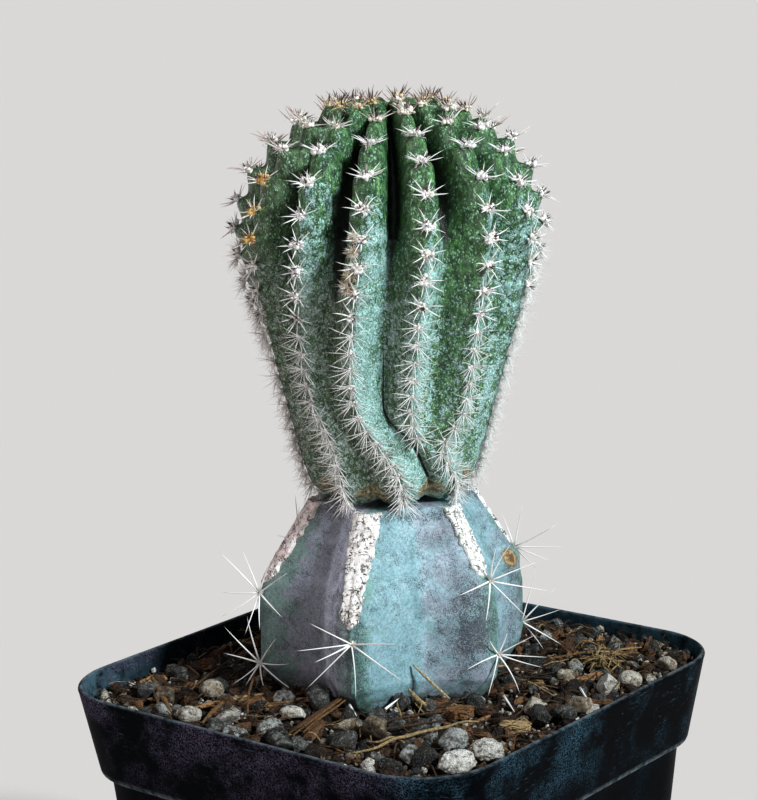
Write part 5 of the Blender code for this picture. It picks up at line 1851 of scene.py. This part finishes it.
def add_strand(batch, path, width, sides, tone, rough=0.0):
    """A thin closed tube along a path, tapered at both ends."""
    forward = unit(np.gradient(path, axis=0))
    side = unit(np.cross(forward, [0, 0, 1.0]))
    other = np.cross(forward, side)
    share = np.linspace(0, 1, len(path))
    radius = 0.5 * width * (0.35 + 0.65 * np.sin(np.pi * np.clip(share, 0.04, 0.96)) ** 0.5)
    turn = 2 * np.pi * np.arange(sides) / sides
    around = side[:, None] * np.cos(turn)[None, :, None] + other[:, None] * np.sin(turn)[None, :, None]
    rings = path[:, None] + radius[:, None, None] * around
    if rough:
        rings = rings + rough * width * noise_at(rings, 0.8 * MM)[..., None] * side[:, None]
    batch.add(*capped_tube(rings), tone=tone)


def smooth_copy(node, plain, levels):
    """A finer copy of a CAD node with its corners welded; plain keeps its edges."""
    item = new_object(node + "_fine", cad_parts[node].data.copy())
    shape = bmesh.new()
    shape.from_mesh(item.data)
    bmesh.ops.remove_doubles(shape, verts=shape.verts, dist=1e-6)
    shape.to_mesh(item.data)
    shape.free()
    smooth = item.modifiers.new("smooth", "SUBSURF")
    smooth.subdivision_type = "SIMPLE" if plain else "CATMULL_CLARK"
    smooth.levels = smooth.render_levels = levels
    apply_modifiers(item)
    return item


def pitted(points, centre, seed, lumps):
    """A stone's points, swollen and pitted, and their places round its centre."""
    local = points - centre
    swell = (noise_at(points, 1.7 * MM, seed) + 0.6 * noise_at(points, 0.8 * MM, seed)
             + 0.4 * noise_at(points, 0.45 * MM, seed))
    return centre + local * 1.04 * (1 + lumps * swell[:, None]), local


def streaked(points, centre, seed, lumps, turn):
    """A chip's points with streaks and ragged ends along its turn, and their places along it."""
    axes = np.array(Matrix.Rotation(math.radians(turn), 3, "Z"))
    local = (points - centre) @ axes
    streaks = noise_at(local * [0.12, 1.3, 1.3], 0.7 * MM, seed) + 0.5 * noise_at(local, 1.1 * MM, seed)
    outer = smoothstep(0.5, 1.0, np.abs(local[:, 0]) / np.abs(local[:, 0]).max())
    ragged = np.abs(noise_at(local * [0.0, 1.0, 1.0], 0.6 * MM, seed + 9.0)) * outer * 0.8 * MM
    points = points + UPWARD * (lumps * MM * streaks)[:, None]
    return points - axes[:, 0] * (np.sign(local[:, 0]) * ragged)[:, None], local


def fine_stone(node, material, tone, seed, lumps, turn=None):
    """A finer copy of a CAD stone, roughened. A chip has a turn: its streaks run along it."""
    item = smooth_copy(node, turn is not None, 3 if turn is None else 4)
    mesh = item.data
    points = np.empty(len(mesh.vertices) * 3)
    mesh.vertices.foreach_get("co", points)
    points = points.reshape(-1, 3)
    centre = points.mean(axis=0)
    if turn is None:
        points, local = pitted(points, centre, seed, lumps)
    else:
        points, local = streaked(points, centre, seed, lumps, turn)
    mesh.vertices.foreach_set("co", points.ravel())
    set_values(mesh, grain_values(tone, local / MM + seed))
    mesh.materials.clear()
    mesh.materials.append(material)
    mesh.shade_smooth()
    return item


# Stage

def make_camera():
    """The photograph's camera."""
    right, up = Vector(CAMERA_RIGHT), Vector(CAMERA_UP)
    turn = Matrix((right, up, right.cross(up))).transposed().to_4x4()
    data = bpy.data.cameras.new("camera")
    data.lens = CAMERA_LENS
    data.sensor_width = SENSOR_WIDTH
    data.clip_start = CAMERA_CLIP
    camera = new_object("camera", data)
    camera.matrix_world = Matrix.Translation(CAMERA_PLACE) @ turn
    bpy.context.scene.camera = camera


def add_sun(name, direction_from, angle, power, colour):
    """A soft distant light from a direction."""
    data = bpy.data.lights.new(name, "SUN")
    data.energy = power
    data.angle = math.radians(angle)
    data.color = colour
    light = new_object(name, data)
    light.rotation_euler = (-Vector(direction_from)).to_track_quat("-Z", "Y").to_euler()


def viewer_side(angle, elevation):
    """Direction towards a light, from its plant angle and elevation in degrees."""
    flat = plant_direction(angle)
    rise = math.radians(elevation)
    return (flat[0] * math.cos(rise), flat[1] * math.cos(rise), math.sin(rise))


def make_stage():
    """Pale floor, soft studio light and even surroundings."""
    mesh = bpy.data.meshes.new("floor")
    corners = [(x * FLOOR_REACH, y * FLOOR_REACH, 0) for x, y in ((-1, -1), (1, -1), (1, 1), (-1, 1))]
    mesh.from_pydata(corners, [], [(0, 1, 2, 3)])
    mesh.materials.append(floor_material())
    floor = new_object("floor", mesh)
    for name, (angle, elevation, spread, strength, colour) in {"key": KEY, "fill": FILL, "top": TOP}.items():
        add_sun(name, viewer_side(angle, elevation), spread, strength, colour)
    world = bpy.data.worlds.new("studio")
    bpy.context.scene.world = world
    world.use_nodes = True
    background = world.node_tree.nodes["Background"]
    background.inputs["Strength"].default_value = SURROUNDINGS[0]
    background.inputs["Color"].default_value = (*SURROUNDINGS[1], 1)
    bpy.context.scene.view_settings.view_transform = "Standard"
    bpy.context.scene.view_settings.look = "None"


# Assembly

def keep(item, slot, *nodes):
    """Rides a piece on the one body and hides the CAD nodes it stands for; its finish slot is not used."""
    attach(item, "root")
    if nodes:
        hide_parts(*nodes)
    return item


def build_plant():
    """Scion and rootstock with their wool, spines and callus."""
    keep(make_scion_skin(scion_material()), "scion_skin", "scion")
    wool = wool_material()
    spine = spine_material()
    places = areole_places()
    keep(make_wool(places, wool), "scion_skin")
    keep(make_spines(places, spine), "scion_skin")
    keep(make_bristles(places, spine), "scion_skin")
    keep(make_rootstock_skin(rootstock_material()), "rootstock_skin", "rootstock")
    keep(make_callus(callus_material()), "rootstock_skin")
    spines, felt = make_root_spines(spine, wool)
    keep(spines, "rootstock_skin")
    keep(make_fallen_spines(spine), "rootstock_skin")
    keep(felt, "rootstock_skin")


def build_soil():
    """Soil bed, grains, fibres and the larger pieces."""
    keep(make_soil_bed(soil_material()), "soil_mix", "soil")
    looks = {look: stone_material(*tones) for look, tones in STONE_TONES.items()}
    looks["bark"] = bark_material()
    keep_off = [(x * MM, y * MM, max(halves[:2]) * 0.8 * MM) for x, y, halves, _, _ in EXTRA_STONES]
    for index, (node, (look, tone, lumps, turn)) in enumerate(STONE_LOOKS.items()):
        low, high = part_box(node)
        width, depth = high[0] - low[0], high[1] - low[1]
        keep_off.append((low[0] + width / 2, low[1] + depth / 2, max(width, depth) / 2.2))
        keep(fine_stone(node, looks[look], tone, 3.0 * index, lumps, turn), SLOTS[look], node)
    for seed, look in enumerate(("grey", "pale", "pumice"), EXTRA_SEED):
        keep(make_extra_stones("extra_" + look, looks[look], look, seed), SLOTS[look])
    for seed, (look, clear, grain) in enumerate(GRAINS, GRAIN_SEED):
        keep(scatter(looks[look], seed, keep_off if clear else [], **grain), SLOTS[look])
    keep(make_fibres(fibre_material()), "bark")


make_camera()
build_plant()
build_soil()
keep(make_pot(pot_material()), "pot_plastic", "pot")
make_stage()
